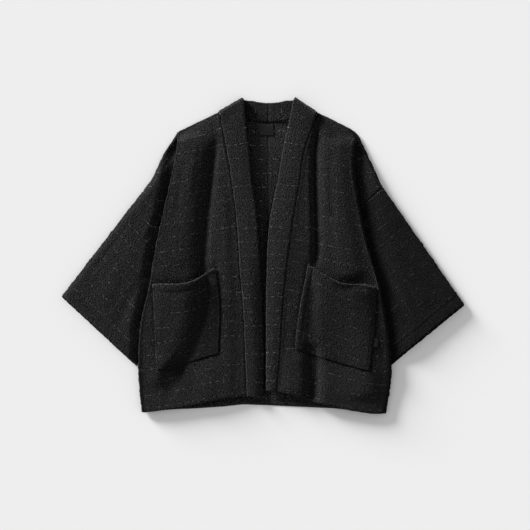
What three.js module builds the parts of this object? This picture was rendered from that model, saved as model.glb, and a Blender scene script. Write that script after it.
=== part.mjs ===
// Kimono jacket of thick wool, laid flat on its back with the front panels up.
// Units are millimetres. The jacket lies in XY with its neck towards +Y, and +Z is up.
// Each panel is a wall of cloth whose middle surface is worked out row by row.

import * as THREE from 'three';

// Cloth thicknesses and the gap kept at every seam
const CLOTH = 2.4;
const BAND_CLOTH = 4.8;
const POCKET_CLOTH = 2.2;
const LABEL_CLOTH = 1.0;
const SEAM_GAP = 0.3;

// Heights of the middle of the layers above the floor
const BACK_MIDDLE = CLOTH / 2;
const SLEEVE_LOWER_HIGH = CLOTH + SEAM_GAP + CLOTH / 2;
const SLEEVE_UPPER_LOW = 7.4;
const SHOULDER_EDGE = CLOTH + 1.0;
const BAND_LOW = BAND_CLOTH / 2;
const FRONT_SEAM_HEIGHT = 13.5;
const BAND_EDGE_HEIGHT = 15.5;
const BAND_CROWN = 1.5;

// The fold that lays each front over its sleeve
const FOLD_RADIUS = 3.2;
const TUCK_RADIUS = 2.0;
const FOLD_TURN = THREE.MathUtils.degToRad(175);
const FOLD_GROWS_OVER = 45;
const TUCK_END = 3.5;

// How far the cloth takes to round down to the shoulder line
const EDGE_ROUND = 15;

// Centre back seam, from the middle of the span over both cuffs
const CENTRE_X = 12.4;

// Rows of the left front from shoulder to hem. Each row gives the free edge of the band,
// the band seam, the inner, middle and outer lines of the pocket, and the side fold.
const LEFT_ROWS = [
  {
    steps: 5, edge: [-45, 353], seam: [-99, 325], inner: [-127, 311],
    middle: [-155, 298], outer: [-180, 286], fold: [-187, 283],
  },
  {
    steps: 3, edge: [-33, 252], seam: [-82, 245], inner: [-104, 240],
    middle: [-135, 233], outer: [-184, 224], fold: [-193, 222],
  },
  {
    steps: 3, edge: [-25, 172], seam: [-70, 170], inner: [-98, 164],
    middle: [-140, 155], outer: [-202, 141], fold: [-211, 139],
  },
  {
    steps: 3, edge: [-14, 92], seam: [-60, 90], inner: [-98, 83],
    middle: [-149, 73], outer: [-220, 62], fold: [-229, 60],
  },
  {
    steps: 2, edge: [-9, 22], seam: [-55, 20], inner: [-102, 11],
    middle: [-158, -2], outer: [-235, -12], fold: [-243, -13],
  },
  {
    steps: 4, edge: [-7, -16], seam: [-53, -18], inner: [-106, -25],
    middle: [-168, -61], outer: [-246, -62], fold: [-250, -61],
  },
  {
    steps: 4, edge: [-2, -115], seam: [-44.5, -115], inner: [-96.5, -112],
    middle: [-167, -144], outer: [-243, -153], fold: [-271, -155],
  },
  {
    steps: 4, edge: [2.5, -216], seam: [-40, -215], inner: [-100, -219],
    middle: [-169, -239], outer: [-238, -256], fold: [-276, -261],
  },
  {
    steps: 0, edge: [0, -325], seam: [-36, -314], inner: [-100, -323],
    middle: [-168, -337], outer: [-238, -348], fold: [-269, -351],
  },
];

// Rows of the right front, in the same columns
const RIGHT_ROWS = [
  {
    steps: 5, edge: [71, 353], seam: [123, 323], inner: [150, 311],
    middle: [174, 299], outer: [199, 286], fold: [206, 282],
  },
  {
    steps: 3, edge: [47, 250], seam: [93, 244], inner: [118, 239],
    middle: [150, 231], outer: [192, 217], fold: [201, 214],
  },
  {
    steps: 3, edge: [33, 170], seam: [81, 168], inner: [112, 162],
    middle: [152, 153], outer: [200, 141], fold: [209, 138],
  },
  {
    steps: 3, edge: [17, 92], seam: [67.5, 90], inner: [106, 84],
    middle: [156, 73], outer: [215, 58], fold: [224, 55],
  },
  {
    steps: 2, edge: [10, 24], seam: [58.5, 22], inner: [102, 14],
    middle: [162, 1], outer: [234, -10], fold: [242, -12],
  },
  {
    steps: 4, edge: [9, -12], seam: [53.5, -12], inner: [100, -20],
    middle: [166, -52], outer: [252, -69], fold: [258, -68],
  },
  {
    steps: 4, edge: [7, -108], seam: [43.5, -108], inner: [82, -118],
    middle: [164, -143], outer: [250, -156], fold: [276, -159],
  },
  {
    steps: 4, edge: [7, -215], seam: [37, -215], inner: [72, -210],
    middle: [156, -235], outer: [239, -257], fold: [285, -262],
  },
  {
    steps: 0, edge: [7, -303], seam: [29, -303], inner: [72, -314],
    middle: [150, -337], outer: [236, -353], fold: [273, -354],
  },
];
const ROW_LINES = ['seam', 'inner', 'middle', 'outer', 'fold'];
const LINE_STEPS = [3, 4, 4, 1];
const FOLD_LINE = ROW_LINES.length - 1;
const ARC_STEPS = 5;
const CAP_STEPS = 3;
const CREASE_STEPS = 6;
const BAND_ACROSS = 4;
const ROWS_INSIDE_CREASE = 3;
const POCKET_TOP_ROW = 5;
const POCKET_BOTTOM_ROW = 7;

// How the side fold changes down the body, by the height on the picture of its edge.
// Return is the cloth turned under, and rest is the height its end lies at.
const SIDE_FOLD = [
  { y: 283, return: 0.5, rest: 7.4, tuck: 1 },
  { y: 222, return: 10, rest: 7.4, tuck: 1 },
  { y: 139, return: 25, rest: 7.4, tuck: 1 },
  { y: -61, return: 27, rest: 7.4, tuck: 1 },
  { y: -84, return: 25, rest: 10.6, tuck: 0 },
  { y: -155, return: 14, rest: 10.6, tuck: 0 },
  { y: -262, return: 9, rest: 9.4, tuck: 0 },
  { y: -300, return: 7, rest: 5.5, tuck: 0 },
  { y: -354, return: 6, rest: 4.0, tuck: 0 },
];

// Each side of the jacket: its rows, the drop shoulder seam, the cuff and the outline
const SIDES = {
  left: {
    rows: LEFT_ROWS,
    outward: -1,
    seamTop: [-271, 145],
    seamInner: [-219, 104],
    cuffTip: [-451, -88],
    cuffInner: [-283, -244],
    shoulder: [[-99, 325], [-193, 280], [-220, 236], [-252, 170], [-271, 145]],
    backSide: [
      [-219, 104], [-224, 60], [-238, -1], [-246, -58], [-259, -94],
      [-266, -130], [-270, -193], [-272, -244], [-274, -282], [-270, -350],
    ],
    backHem: [[-270, -350], [-196, -345], [-148, -343], [-91, -339], [-44, -334], [CENTRE_X, -336]],
    neck: [[CENTRE_X, 303], [-18, 305], [-63, 312.5], [-97.5, 317.5], [-100.3, 324.5]],
    bandBack: [
      { edge: [CENTRE_X, 347], seam: [CENTRE_X, 303] },
      { edge: [-6, 349], seam: [-12, 304.6] },
      { edge: [-26, 350], seam: [-45, 310.4] },
      { edge: [-40, 348], seam: [-78, 318.6] },
    ],
  },
  right: {
    rows: RIGHT_ROWS,
    outward: 1,
    seamTop: [270, 154],
    seamInner: [216, 108],
    cuffTip: [451, -107],
    cuffInner: [286, -242],
    shoulder: [
      [123, 323], [164, 304], [195, 288], [216, 271], [233, 233], [250, 196], [270, 154],
    ],
    backSide: [
      [216, 108], [224, 40], [237, -7], [253, -55], [260, -88],
      [268, -130], [276, -181], [281, -237], [278, -282], [272, -352],
    ],
    backHem: [[272, -352], [255, -355], [217, -349], [160, -343], [CENTRE_X, -336]],
    neck: [[CENTRE_X, 303], [59, 305], [90, 311], [121, 316], [124.3, 322.5]],
    bandBack: [
      { edge: [CENTRE_X, 347], seam: [CENTRE_X, 303] },
      { edge: [32, 349], seam: [40, 304.2] },
      { edge: [52, 350], seam: [70, 308.6] },
      { edge: [66, 348], seam: [102, 316.8] },
    ],
  },
};

// Soft folds of the fronts: lines on the plan, with depth and the reach to each side.
// A negative depth is a trough. Inward is towards the centre front.
const FOLDS = {
  left: [
    {
      depth: -6.5, inward: 15, outward: 30,
      line: [[-112, 290], [-122, 208], [-129, 145], [-138, 82], [-142, 19], [-144, -40]],
    },
    {
      depth: -5.5, inward: 18, outward: 24,
      line: [[-122, -20], [-145, -98], [-157, -145], [-176, -208], [-225, -313]],
    },
    {
      depth: 2.5, inward: 16, outward: 20,
      line: [[-84, 150], [-80, 40], [-76, -80], [-74, -200], [-72, -320]],
    },
    {
      depth: 3.5, inward: 34, outward: 30,
      line: [[-118, -230], [-122, -290], [-124, -330]],
    },
  ],
  right: [
    {
      depth: -7, inward: 9, outward: 14,
      line: [[118, 320], [117, 250], [116, 180], [118, 100], [120, 20], [118, -20]],
    },
    {
      depth: -5, inward: 12, outward: 20,
      line: [[104, -190], [108, -240], [110, -290], [106, -330]],
    },
    {
      depth: -3.5, inward: 12, outward: 16,
      line: [[112, -40], [106, -110], [102, -180]],
    },
    {
      depth: 2.5, inward: 26, outward: 34,
      line: [[165, 220], [170, 120], [176, 20], [180, -60]],
    },
    {
      depth: 3, inward: 26, outward: 30,
      line: [[62, -220], [58, -270], [56, -310]],
    },
  ],
};
const FOLD_END_FADE = 40;

// The front hem stands off the back hem between the band and the side
const HEM_LIFT = 2.5;
const HEM_LIFT_FROM = -230;
const HEM_LIFT_OVER = 90;

// Sleeves: height of the upper layer over the floor, out from the side fold to the cuff
const SLEEVE_CREST = 15.5;
const SLEEVE_CREST_OUT = 34;
const SLEEVE_CUFF_HEIGHT = 11;
const SLEEVE_EDGE_ROUND = 16;
const LOWER_RAMP = 22;
const CORNER_CLEAR = 24;
const SIDE_CLEAR = 16;
const LOWER_CUFF_SHOWS = 5;
const SLEEVE_ROWS = 12;
const UNDERARM_Y = -75;
const HIDDEN_SEAM_GAP = 1.3;

// Pockets, the label and the tag
const POCKET_GAPE = 13;
const POCKET_CLEAR = 0.4;
const LABEL = { centre: [7.5, 285], width: 34, height: 25 };
const TAG = { rowsBelowPocketTop: 5, from: 0.1, to: 0.9, start: 0.03, width: 11, clear: 0.5 };

// Numbers and points
const mix = (a, b, t) => a + (b - a) * t;
const clamp01 = (t) => Math.min(1, Math.max(0, t));
const smooth = (t) => clamp01(t) ** 2 * (3 - 2 * clamp01(t));
const point = (x, y, z = 0) => new THREE.Vector3(x, y, z);
const plan = (pair) => point(pair[0], pair[1]);

// Smooth curve through values that are one step apart
function through(values, at) {
  const last = values.length - 1;
  const index = Math.min(last - 1, Math.max(0, Math.floor(at)));
  const t = at - index;
  const p1 = values[index];
  const p2 = values[index + 1];
  const p0 = index > 0 ? values[index - 1] : 2 * p1 - p2;
  const p3 = index < last - 1 ? values[index + 2] : 2 * p2 - p1;
  const bend = (2 * p0 - 5 * p1 + 4 * p2 - p3) * t * t + (3 * p1 - p0 - 3 * p2 + p3) * t * t * t;
  return p1 + 0.5 * ((p2 - p0) * t + bend);
}

// Value of one column of a table that is sorted by falling y
function column(table, name, y) {
  const after = table.findIndex((row) => row.y <= y);
  if (after <= 0) {
    return after === 0 ? table[0][name] : table[table.length - 1][name];
  }
  const above = table[after - 1];
  const below = table[after];
  return mix(above[name], below[name], (above.y - y) / (above.y - below.y));
}

// Distance on the plan from a line of points
function distanceTo(line, x, y) {
  let best = Infinity;
  for (let i = 0; i + 1 < line.length; i += 1) {
    const [ax, ay] = line[i];
    const [bx, by] = line[i + 1];
    const length2 = (bx - ax) ** 2 + (by - ay) ** 2;
    const t = clamp01(((x - ax) * (bx - ax) + (y - ay) * (by - ay)) / length2);
    best = Math.min(best, Math.hypot(x - mix(ax, bx, t), y - mix(ay, by, t)));
  }
  return best;
}

// Where a line that runs down the plan stands at a height y
function lineX(line, y) {
  const table = line.map(([x, height]) => ({ y: height, x }));
  return column(table, 'x', y);
}

// A wall of cloth round a grid of middle points. A ring closes each row on itself.
function wall(grid, thickness, { ring = false, uprightFirst = false, uprightLast = false } = {}) {
  const rows = grid.length;
  const cols = grid[0].length;
  const near = (i, j) => {
    const row = grid[Math.min(rows - 1, Math.max(0, i))];
    return row[ring ? (j + cols) % cols : Math.min(cols - 1, Math.max(0, j))];
  };
  const outer = [];
  const inner = [];
  for (let i = 0; i < rows; i += 1) {
    for (let j = 0; j < cols; j += 1) {
      const across = near(i, j + 1).clone().sub(near(i, j - 1));
      const along = near(i + 1, j).clone().sub(near(i - 1, j));
      const normal = across.cross(along).normalize();
      const upright = (uprightFirst && j === 0) || (uprightLast && j === cols - 1);
      if (upright && Math.abs(normal.z) > 0.5) {
        normal.set(0, 0, Math.sign(normal.z));
      }
      outer.push(grid[i][j].clone().addScaledVector(normal, thickness / 2));
      inner.push(grid[i][j].clone().addScaledVector(normal, -thickness / 2));
    }
  }
  const points = [...outer, ...inner];
  const count = outer.length;
  const index = [];
  const quad = (a, b, c, d) => index.push(a, b, c, a, c, d);
  const at = (i, j) => i * cols + (ring ? j % cols : j);
  const lastCol = ring ? cols : cols - 1;
  for (let i = 0; i + 1 < rows; i += 1) {
    for (let j = 0; j < lastCol; j += 1) {
      quad(at(i, j), at(i, j + 1), at(i + 1, j + 1), at(i + 1, j));
      quad(count + at(i, j), count + at(i + 1, j), count + at(i + 1, j + 1), count + at(i, j + 1));
    }
  }
  for (let j = 0; j < lastCol; j += 1) {
    quad(at(0, j), count + at(0, j), count + at(0, j + 1), at(0, j + 1));
    quad(at(rows - 1, j + 1), count + at(rows - 1, j + 1), count + at(rows - 1, j), at(rows - 1, j));
  }
  if (!ring) {
    for (let i = 0; i + 1 < rows; i += 1) {
      const end = cols - 1;
      quad(at(i + 1, 0), count + at(i + 1, 0), count + at(i, 0), at(i, 0));
      quad(at(i, end), count + at(i, end), count + at(i + 1, end), at(i + 1, end));
    }
  }
  return solid(points, index);
}

// Geometry from points and triangles, turned so that its faces point out
function solid(points, index) {
  let volume = 0;
  for (let i = 0; i < index.length; i += 3) {
    const [a, b, c] = [points[index[i]], points[index[i + 1]], points[index[i + 2]]];
    volume += a.dot(b.clone().cross(c));
  }
  if (volume < 0) {
    for (let i = 0; i < index.length; i += 3) {
      [index[i + 1], index[i + 2]] = [index[i + 2], index[i + 1]];
    }
  }
  const geometry = new THREE.BufferGeometry();
  const flat = points.flatMap((p) => [p.x, p.y, p.z]);
  geometry.setAttribute('position', new THREE.Float32BufferAttribute(flat, 3));
  geometry.setIndex(index);
  geometry.computeVertexNormals();
  return geometry;
}

// Rise of cloth from the shoulder line, 0 at the line and 1 where the rounding ends
function shoulderRise(side, x, y) {
  const reach = distanceTo([...side.shoulder, side.cuffTip], x, y) / EDGE_ROUND;
  return Math.sqrt(1 - (1 - clamp01(reach)) ** 2);
}

// Sum of the soft folds of one front at a place on the plan
function foldDepth(name, x, y) {
  const outward = SIDES[name].outward;
  let sum = 0;
  for (const fold of FOLDS[name]) {
    const top = fold.line[0][1];
    const bottom = fold.line[fold.line.length - 1][1];
    const away = (x - lineX(fold.line, y)) * outward;
    const reach = away > 0 ? fold.outward : fold.inward;
    const fade = smooth((top - y) / FOLD_END_FADE + 0.5) * smooth((y - bottom) / FOLD_END_FADE + 0.5);
    sum += fold.depth * fade * Math.exp(-((away / reach) ** 2));
  }
  return sum;
}

// Distance outward on the plan from the edge of the side fold
function pastFold(side, x, y) {
  const line = side.rows.map((row) => row.fold);
  return (x - lineX(line, y)) * side.outward;
}

// Middle height of the upper layer of the sleeve and of the dropped shoulder
function sleeveTop(side, x, y) {
  const past = pastFold(side, x, y);
  const rise = smooth((past - 2) / SLEEVE_CREST_OUT);
  const cuff = clamp01(Math.abs(x) / Math.abs(side.cuffTip[0]) - 0.5) * 2;
  return SLEEVE_UPPER_LOW + (mix(SLEEVE_CREST, SLEEVE_CUFF_HEIGHT, cuff) - SLEEVE_UPPER_LOW) * rise;
}

// Middle height of the lower layer of the sleeve: on the floor, or over the back's side
function sleeveLower(side, x, y) {
  const past = (x - lineX(side.backSide, y)) * side.outward - SIDE_CLEAR;
  const [cornerX, cornerY] = side.backSide[0];
  const drop = y > cornerY ? Math.hypot(x - cornerX, y - cornerY) - CORNER_CLEAR : past;
  return mix(SLEEVE_LOWER_HIGH, BACK_MIDDLE, smooth(drop / LOWER_RAMP));
}

// Rows of a front on the plan: key rows joined smoothly, with closer rows at the shoulder
function frontStations() {
  const stations = [];
  LEFT_ROWS.forEach((row, key) => {
    for (let step = 0; step < row.steps; step += 1) {
      const t = step / row.steps;
      stations.push(key === 0 ? t ** 2 : key + t);
    }
  });
  stations.push(LEFT_ROWS.length - 1);
  return stations;
}

// A point on the plan of one front, by its row and by its place across the row
function frontPlan(side, row, across) {
  const lines = ROW_LINES.map((name) => plan([0, 1].map((axis) => {
    return through(side.rows.map((key) => key[name][axis]), row);
  })));
  const x = through(lines.map((line) => line.x), across);
  const y = through(lines.map((line) => line.y), across);
  return point(x, y);
}

// The side fold of one row: its turn, its tuck and the height where the cloth starts to turn
function sideFold(foldY) {
  const turn = FOLD_TURN * smooth((LEFT_ROWS[0].fold[1] - foldY) / FOLD_GROWS_OVER);
  const tuck = turn * smooth(column(SIDE_FOLD, 'tuck', foldY));
  const back = column(SIDE_FOLD, 'return', foldY);
  const drop = FOLD_RADIUS * (1 - Math.cos(turn)) + back * Math.sin(turn)
    + TUCK_RADIUS * (Math.cos(turn - tuck) - Math.cos(turn));
  return { turn, tuck, back, start: column(SIDE_FOLD, 'rest', foldY) + drop };
}

// Middle height of a front between the band seam and the side fold
function frontHeight(name, across, place, foldStart) {
  const side = SIDES[name];
  const share = across / FOLD_LINE;
  const hemLift = HEM_LIFT * smooth((HEM_LIFT_FROM - place.y) / HEM_LIFT_OVER) * Math.sin(Math.PI * share);
  const flat = mix(FRONT_SEAM_HEIGHT, foldStart, smooth((share - 0.45) / 0.55)) + hemLift;
  const folded = flat + foldDepth(name, place.x, place.y) * smooth(share * 5) * smooth((1 - share) * 5);
  return mix(SHOULDER_EDGE, folded, shoulderRise(side, place.x, place.y));
}

// Places across a row of a front, counted in pocket and fold lines
function acrossStations() {
  const stations = [];
  LINE_STEPS.forEach((steps, part) => {
    for (let step = 0; step < steps; step += 1) {
      stations.push(part + step / steps);
    }
  });
  stations.push(FOLD_LINE);
  return stations;
}

// The side fold as steps out and down from where the cloth starts to turn
function foldSteps(fold) {
  const steps = [];
  for (let step = 1; step <= ARC_STEPS; step += 1) {
    const angle = fold.turn * step / ARC_STEPS;
    steps.push([FOLD_RADIUS * Math.sin(angle), FOLD_RADIUS * (1 - Math.cos(angle))]);
  }
  const out = FOLD_RADIUS * Math.sin(fold.turn) + fold.back * Math.cos(fold.turn);
  const down = FOLD_RADIUS * (1 - Math.cos(fold.turn)) + fold.back * Math.sin(fold.turn);
  for (let step = 0; step <= ARC_STEPS; step += 1) {
    const angle = fold.turn - fold.tuck * step / ARC_STEPS;
    steps.push([
      out + TUCK_RADIUS * (Math.sin(fold.turn) - Math.sin(angle)),
      down + TUCK_RADIUS * (Math.cos(angle) - Math.cos(fold.turn)),
    ]);
  }
  return steps;
}

// The dropped shoulder of one row, from the valley of the fold out to the sleeve seam
function shoulderCap(side, valley, seamShare) {
  const seam = plan(side.seamTop).lerp(plan(side.seamInner), Math.max(0, seamShare));
  const points = [];
  for (let step = 1; step <= CAP_STEPS; step += 1) {
    const t = step / CAP_STEPS;
    const p = valley.clone().lerp(seam, t);
    const height = mix(SHOULDER_EDGE, sleeveTop(side, p.x, p.y), shoulderRise(side, p.x, p.y));
    p.z = mix(valley.z, height, smooth(t * 1.5));
    points.push(p);
  }
  return points;
}

// The short hidden end of one row, where it meets the sleeve or the side seam
function hiddenEnd(valley, heading, fold) {
  const leave = fold.turn - fold.tuck;
  const points = [];
  for (let step = 1; step <= CAP_STEPS; step += 1) {
    const reach = TUCK_END * step / CAP_STEPS;
    const p = valley.clone().addScaledVector(heading, reach * Math.cos(leave));
    p.z = valley.z - reach * Math.sin(leave);
    points.push(p);
  }
  return points;
}

// One front: the body, the fold over the sleeve, and the dropped shoulder to its seam
function frontGrid(name) {
  const side = SIDES[name];
  const stations = frontStations();
  const ends = [];
  const grid = stations.map((row) => {
    const last = frontPlan(side, row, FOLD_LINE);
    const fold = sideFold(last.y);
    const points = acrossStations().map((across) => {
      const place = frontPlan(side, row, across);
      place.z = frontHeight(name, across, place, fold.start);
      return place;
    });
    points[0].x += side.outward * SEAM_GAP;

    const start = points[points.length - 1];
    const heading = last.clone().sub(frontPlan(side, row, FOLD_LINE - 1)).normalize();
    const rise = shoulderRise(side, start.x, start.y);
    for (const [out, down] of foldSteps(fold)) {
      const p = start.clone().addScaledVector(heading, out);
      p.z = start.z - down * rise;
      points.push(p);
    }
    const valley = points[points.length - 1];
    const topY = side.rows[0].fold[1];
    const seamShare = (topY - last.y) / (topY - side.seamInner[1]);
    const onSeam = seamShare <= 1;
    points.push(...(onSeam ? shoulderCap(side, valley, seamShare) : hiddenEnd(valley, heading, fold)));
    ends.push({ onSeam, end: points[points.length - 1], foldY: last.y });
    return points;
  });
  return { grid, ends, stations };
}

// One sleeve: a flattened tube from the drop shoulder seam to the open cuff
function sleeveGrid(name, ends) {
  const side = SIDES[name];
  const seamEnds = ends.filter((end) => end.foldY > UNDERARM_Y);
  const head = seamEnds.map((end) => end.end);
  const lengths = [0];
  for (let i = 1; i < head.length; i += 1) {
    lengths.push(lengths[i - 1] + Math.hypot(head[i].x - head[i - 1].x, head[i].y - head[i - 1].y));
  }
  const total = lengths[lengths.length - 1];
  const cuffTip = plan(side.cuffTip);
  const cuffInner = plan(side.cuffInner);
  const grid = [];
  for (let row = 0; row <= SLEEVE_ROWS; row += 1) {
    const along = row / SLEEVE_ROWS;
    const spot = (index, extra) => {
      const from = plan([head[index].x, head[index].y]);
      const to = cuffTip.clone().lerp(cuffInner, lengths[index] / total);
      const heading = to.clone().sub(from).normalize();
      const before = head[Math.max(0, index - 1)];
      const after = head[Math.min(head.length - 1, index + 1)];
      const seam = after.clone().sub(before).setZ(0).normalize();
      const gap = seamEnds[index].onSeam ? SEAM_GAP : HIDDEN_SEAM_GAP;
      from.x += seam.y * gap * -side.outward;
      from.y += seam.x * gap * side.outward;
      return from.lerp(to.addScaledVector(heading, extra), along);
    };
    const upper = [];
    const lower = [];
    const width = spot(0, 0).distanceTo(spot(head.length - 1, 0));
    for (let index = 0; index < head.length; index += 1) {
      const p = spot(index, 0);
      const q = spot(index, LOWER_CUFF_SHOWS);
      const fromTop = p.distanceTo(spot(0, 0));
      const fromUnder = width > 0 ? p.distanceTo(spot(head.length - 1, 0)) : 0;
      const low = sleeveLower(side, q.x, q.y);
      const high = sleeveTop(side, p.x, p.y);
      const roundTop = Math.sqrt(1 - (1 - clamp01(fromTop / SLEEVE_EDGE_ROUND)) ** 2);
      const roundUnder = Math.sqrt(1 - (1 - clamp01(fromUnder / (high - low + 2))) ** 2);
      const full = mix(0.4, 1, Math.min(roundTop, roundUnder));
      upper.push(point(p.x, p.y, low + (high - low) * full));
      if (index > 0 && index < head.length - 1) {
        lower.push(point(q.x, q.y, low));
      }
    }
    grid.push([...upper, ...lower.reverse()]);
  }
  return grid;
}

// One half of the band: from the centre back, over the crease at the neck, down the front
function bandGrid(name, front) {
  const side = SIDES[name];
  const rows = [];
  const strip = (edge, seam, edgeZ, seamZ, crown) => {
    const line = [];
    for (let step = 0; step <= BAND_ACROSS; step += 1) {
      const t = step / BAND_ACROSS;
      const p = edge.clone().lerp(seam, t);
      p.z = mix(edgeZ, seamZ, t) + crown * Math.sin(Math.PI * t);
      line.push(p);
    }
    return line;
  };
  for (const row of side.bandBack) {
    const edge = plan(row.edge);
    const seam = plan(row.seam);
    const centreGap = row === side.bandBack[0] ? side.outward * SEAM_GAP / 2 : 0;
    edge.x += centreGap;
    seam.x += centreGap;
    seam.y += SEAM_GAP;
    rows.push(strip(edge, seam, BAND_LOW, BAND_LOW, 0));
  }
  const creaseEdge = plan(side.rows[0].edge);
  const creaseSeam = plan(side.rows[0].seam);
  const upright = creaseSeam.clone().sub(creaseEdge).normalize();
  const outward = point(-upright.y, upright.x).multiplyScalar(side.outward);
  const radius = (BAND_EDGE_HEIGHT - BAND_LOW) / 2;
  for (let step = 0; step <= CREASE_STEPS; step += 1) {
    const angle = Math.PI * (step / CREASE_STEPS - 0.5);
    const reach = radius * (Math.cos(angle) - 1);
    const z = BAND_LOW + radius * (1 + Math.sin(angle));
    const edge = creaseEdge.clone().addScaledVector(outward, reach);
    const seam = creaseSeam.clone().addScaledVector(outward, reach);
    rows.push(strip(edge, seam, z, z, 0));
  }
  front.stations.forEach((row, index) => {
    if (index < ROWS_INSIDE_CREASE) {
      return;
    }
    const edge = plan([0, 1].map((axis) => through(side.rows.map((key) => key.edge[axis]), row)));
    const seam = frontPlan(side, row, 0);
    const height = front.grid[index][0].z;
    rows.push(strip(edge, seam, BAND_EDGE_HEIGHT, height, BAND_CROWN));
  });
  return rows;
}

// One pocket: the points of its front between the pocket lines, moved out and gaping on top
function pocketGrid(front) {
  const firstCol = LINE_STEPS[0];
  const lastCol = LINE_STEPS[0] + LINE_STEPS[1] + LINE_STEPS[2];
  const firstRow = front.stations.indexOf(POCKET_TOP_ROW);
  const lastRow = front.stations.indexOf(POCKET_BOTTOM_ROW);
  const rows = [];
  for (let i = firstRow; i <= lastRow; i += 1) {
    const down = (i - firstRow) / (lastRow - firstRow);
    const line = [];
    for (let j = firstCol; j <= lastCol; j += 1) {
      const across = (j - firstCol) / (lastCol - firstCol);
      const gape = POCKET_GAPE * Math.sin(Math.PI * across) * (1 - down) ** 2;
      const lift = (CLOTH + POCKET_CLOTH) / 2 + POCKET_CLEAR + gape;
      const p = front.grid[i][j];
      const along = front.grid[i + 1][j].clone().sub(front.grid[i - 1][j]);
      const sideways = front.grid[i][j + 1].clone().sub(front.grid[i][j - 1]);
      const normal = sideways.cross(along).normalize();
      normal.multiplyScalar(Math.sign(normal.z));
      line.push(p.clone().addScaledVector(normal, lift));
    }
    rows.push(line);
  }
  return rows;
}

// The tag: a strip beside the outer edge of a pocket, made from the front's points, moved out
function tagGrid(front) {
  const row = front.stations.indexOf(POCKET_TOP_ROW) + TAG.rowsBelowPocketTop;
  const col = LINE_STEPS[0] + LINE_STEPS[1] + LINE_STEPS[2];
  const corner = (i, j) => front.grid[row + i][col + j];
  const cell = corner(0, 0).distanceTo(corner(0, 1));
  const on = (down, out) => {
    const upper = corner(0, 0).clone().lerp(corner(0, 1), out);
    return upper.lerp(corner(1, 0).clone().lerp(corner(1, 1), out), down);
  };
  const normal = corner(0, 1).clone().sub(corner(0, 0)).cross(corner(1, 0).clone().sub(corner(0, 0)));
  normal.normalize();
  normal.multiplyScalar(Math.sign(normal.z) * ((CLOTH + LABEL_CLOTH) / 2 + TAG.clear));
  return [TAG.from, 0.5, TAG.to].map((down) => [0, 0.5, 1].map((step) => {
    return on(down, TAG.start + step * TAG.width / cell).add(normal);
  }));
}

// A flat panel on the floor from its outline
function flatPanel(outline) {
  const shape = new THREE.Shape(outline.map(([x, y]) => new THREE.Vector2(x, y)));
  return new THREE.ExtrudeGeometry(shape, { depth: CLOTH, bevelEnabled: false });
}

function backGeometry(name) {
  const side = SIDES[name];
  const shift = ([x, y]) => (x === CENTRE_X ? [x + side.outward * SEAM_GAP / 2, y] : [x, y]);
  const outline = [
    ...side.neck,
    ...side.shoulder.slice(1),
    ...side.backSide,
    ...side.backHem.slice(1),
  ];
  return flatPanel(outline.map(shift));
}

// A small flat piece lying level at a height
function flatPiece({ centre, width, height }, thickness, bottom) {
  const geometry = new THREE.BoxGeometry(width, height, thickness);
  geometry.translate(centre[0], centre[1], bottom + thickness / 2);
  return geometry;
}

// Finishes
const wool = (colour) => new THREE.MeshStandardMaterial({ color: colour, roughness: 0.95, metalness: 0 });
const satin = () => new THREE.MeshStandardMaterial({ color: 0x18181a, roughness: 0.5, metalness: 0 });
const WOOL_BODY = 0x232325;
const WOOL_POCKET = 0x262628;

const jacket = new THREE.Group();
function add(name, geometry, material) {
  const mesh = new THREE.Mesh(geometry, material);
  mesh.name = name;
  jacket.add(mesh);
}

for (const name of ['left', 'right']) {
  const front = frontGrid(name);
  if (name === 'right') {
    add('pocket_tag', wall(tagGrid(front), LABEL_CLOTH), satin());
  }
  add(`back_${name}`, backGeometry(name), wool(WOOL_BODY));
  add(`front_${name}`, wall(front.grid, CLOTH, { uprightFirst: true }), wool(WOOL_BODY));
  add(`sleeve_${name}`, wall(sleeveGrid(name, front.ends), CLOTH, { ring: true }), wool(WOOL_BODY));
  add(`collar_${name}`, wall(bandGrid(name, front), BAND_CLOTH, { uprightLast: true }), wool(WOOL_BODY));
  add(`pocket_${name}`, wall(pocketGrid(front), POCKET_CLOTH), wool(WOOL_POCKET));
}
add('neck_label', flatPiece(LABEL, LABEL_CLOTH, CLOTH + SEAM_GAP), satin());

// The origin is at the middle of the box round the jacket, on the floor
const box = new THREE.Box3().setFromObject(jacket);
jacket.position.set(-(box.min.x + box.max.x) / 2, -(box.min.y + box.max.y) / 2, -box.min.z);

export default jacket;
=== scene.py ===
"""Kimono jacket of thick boucle wool, laid flat with its fronts up.

Each cloth piece is a closed wall worked out from the sections of its solid in the frame,
at a finer step, with the crumb of the wool, the smaller creases and the seams shaped in it.
Sections are in millimetres on the plan, and meshes are in metres in the frame.
"""

import math

import bpy
import numpy as np
from bpy.props import FloatProperty, FloatVectorProperty, IntProperty, PointerProperty
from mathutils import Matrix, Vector
from mathutils.geometry import delaunay_2d_cdt


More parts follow.
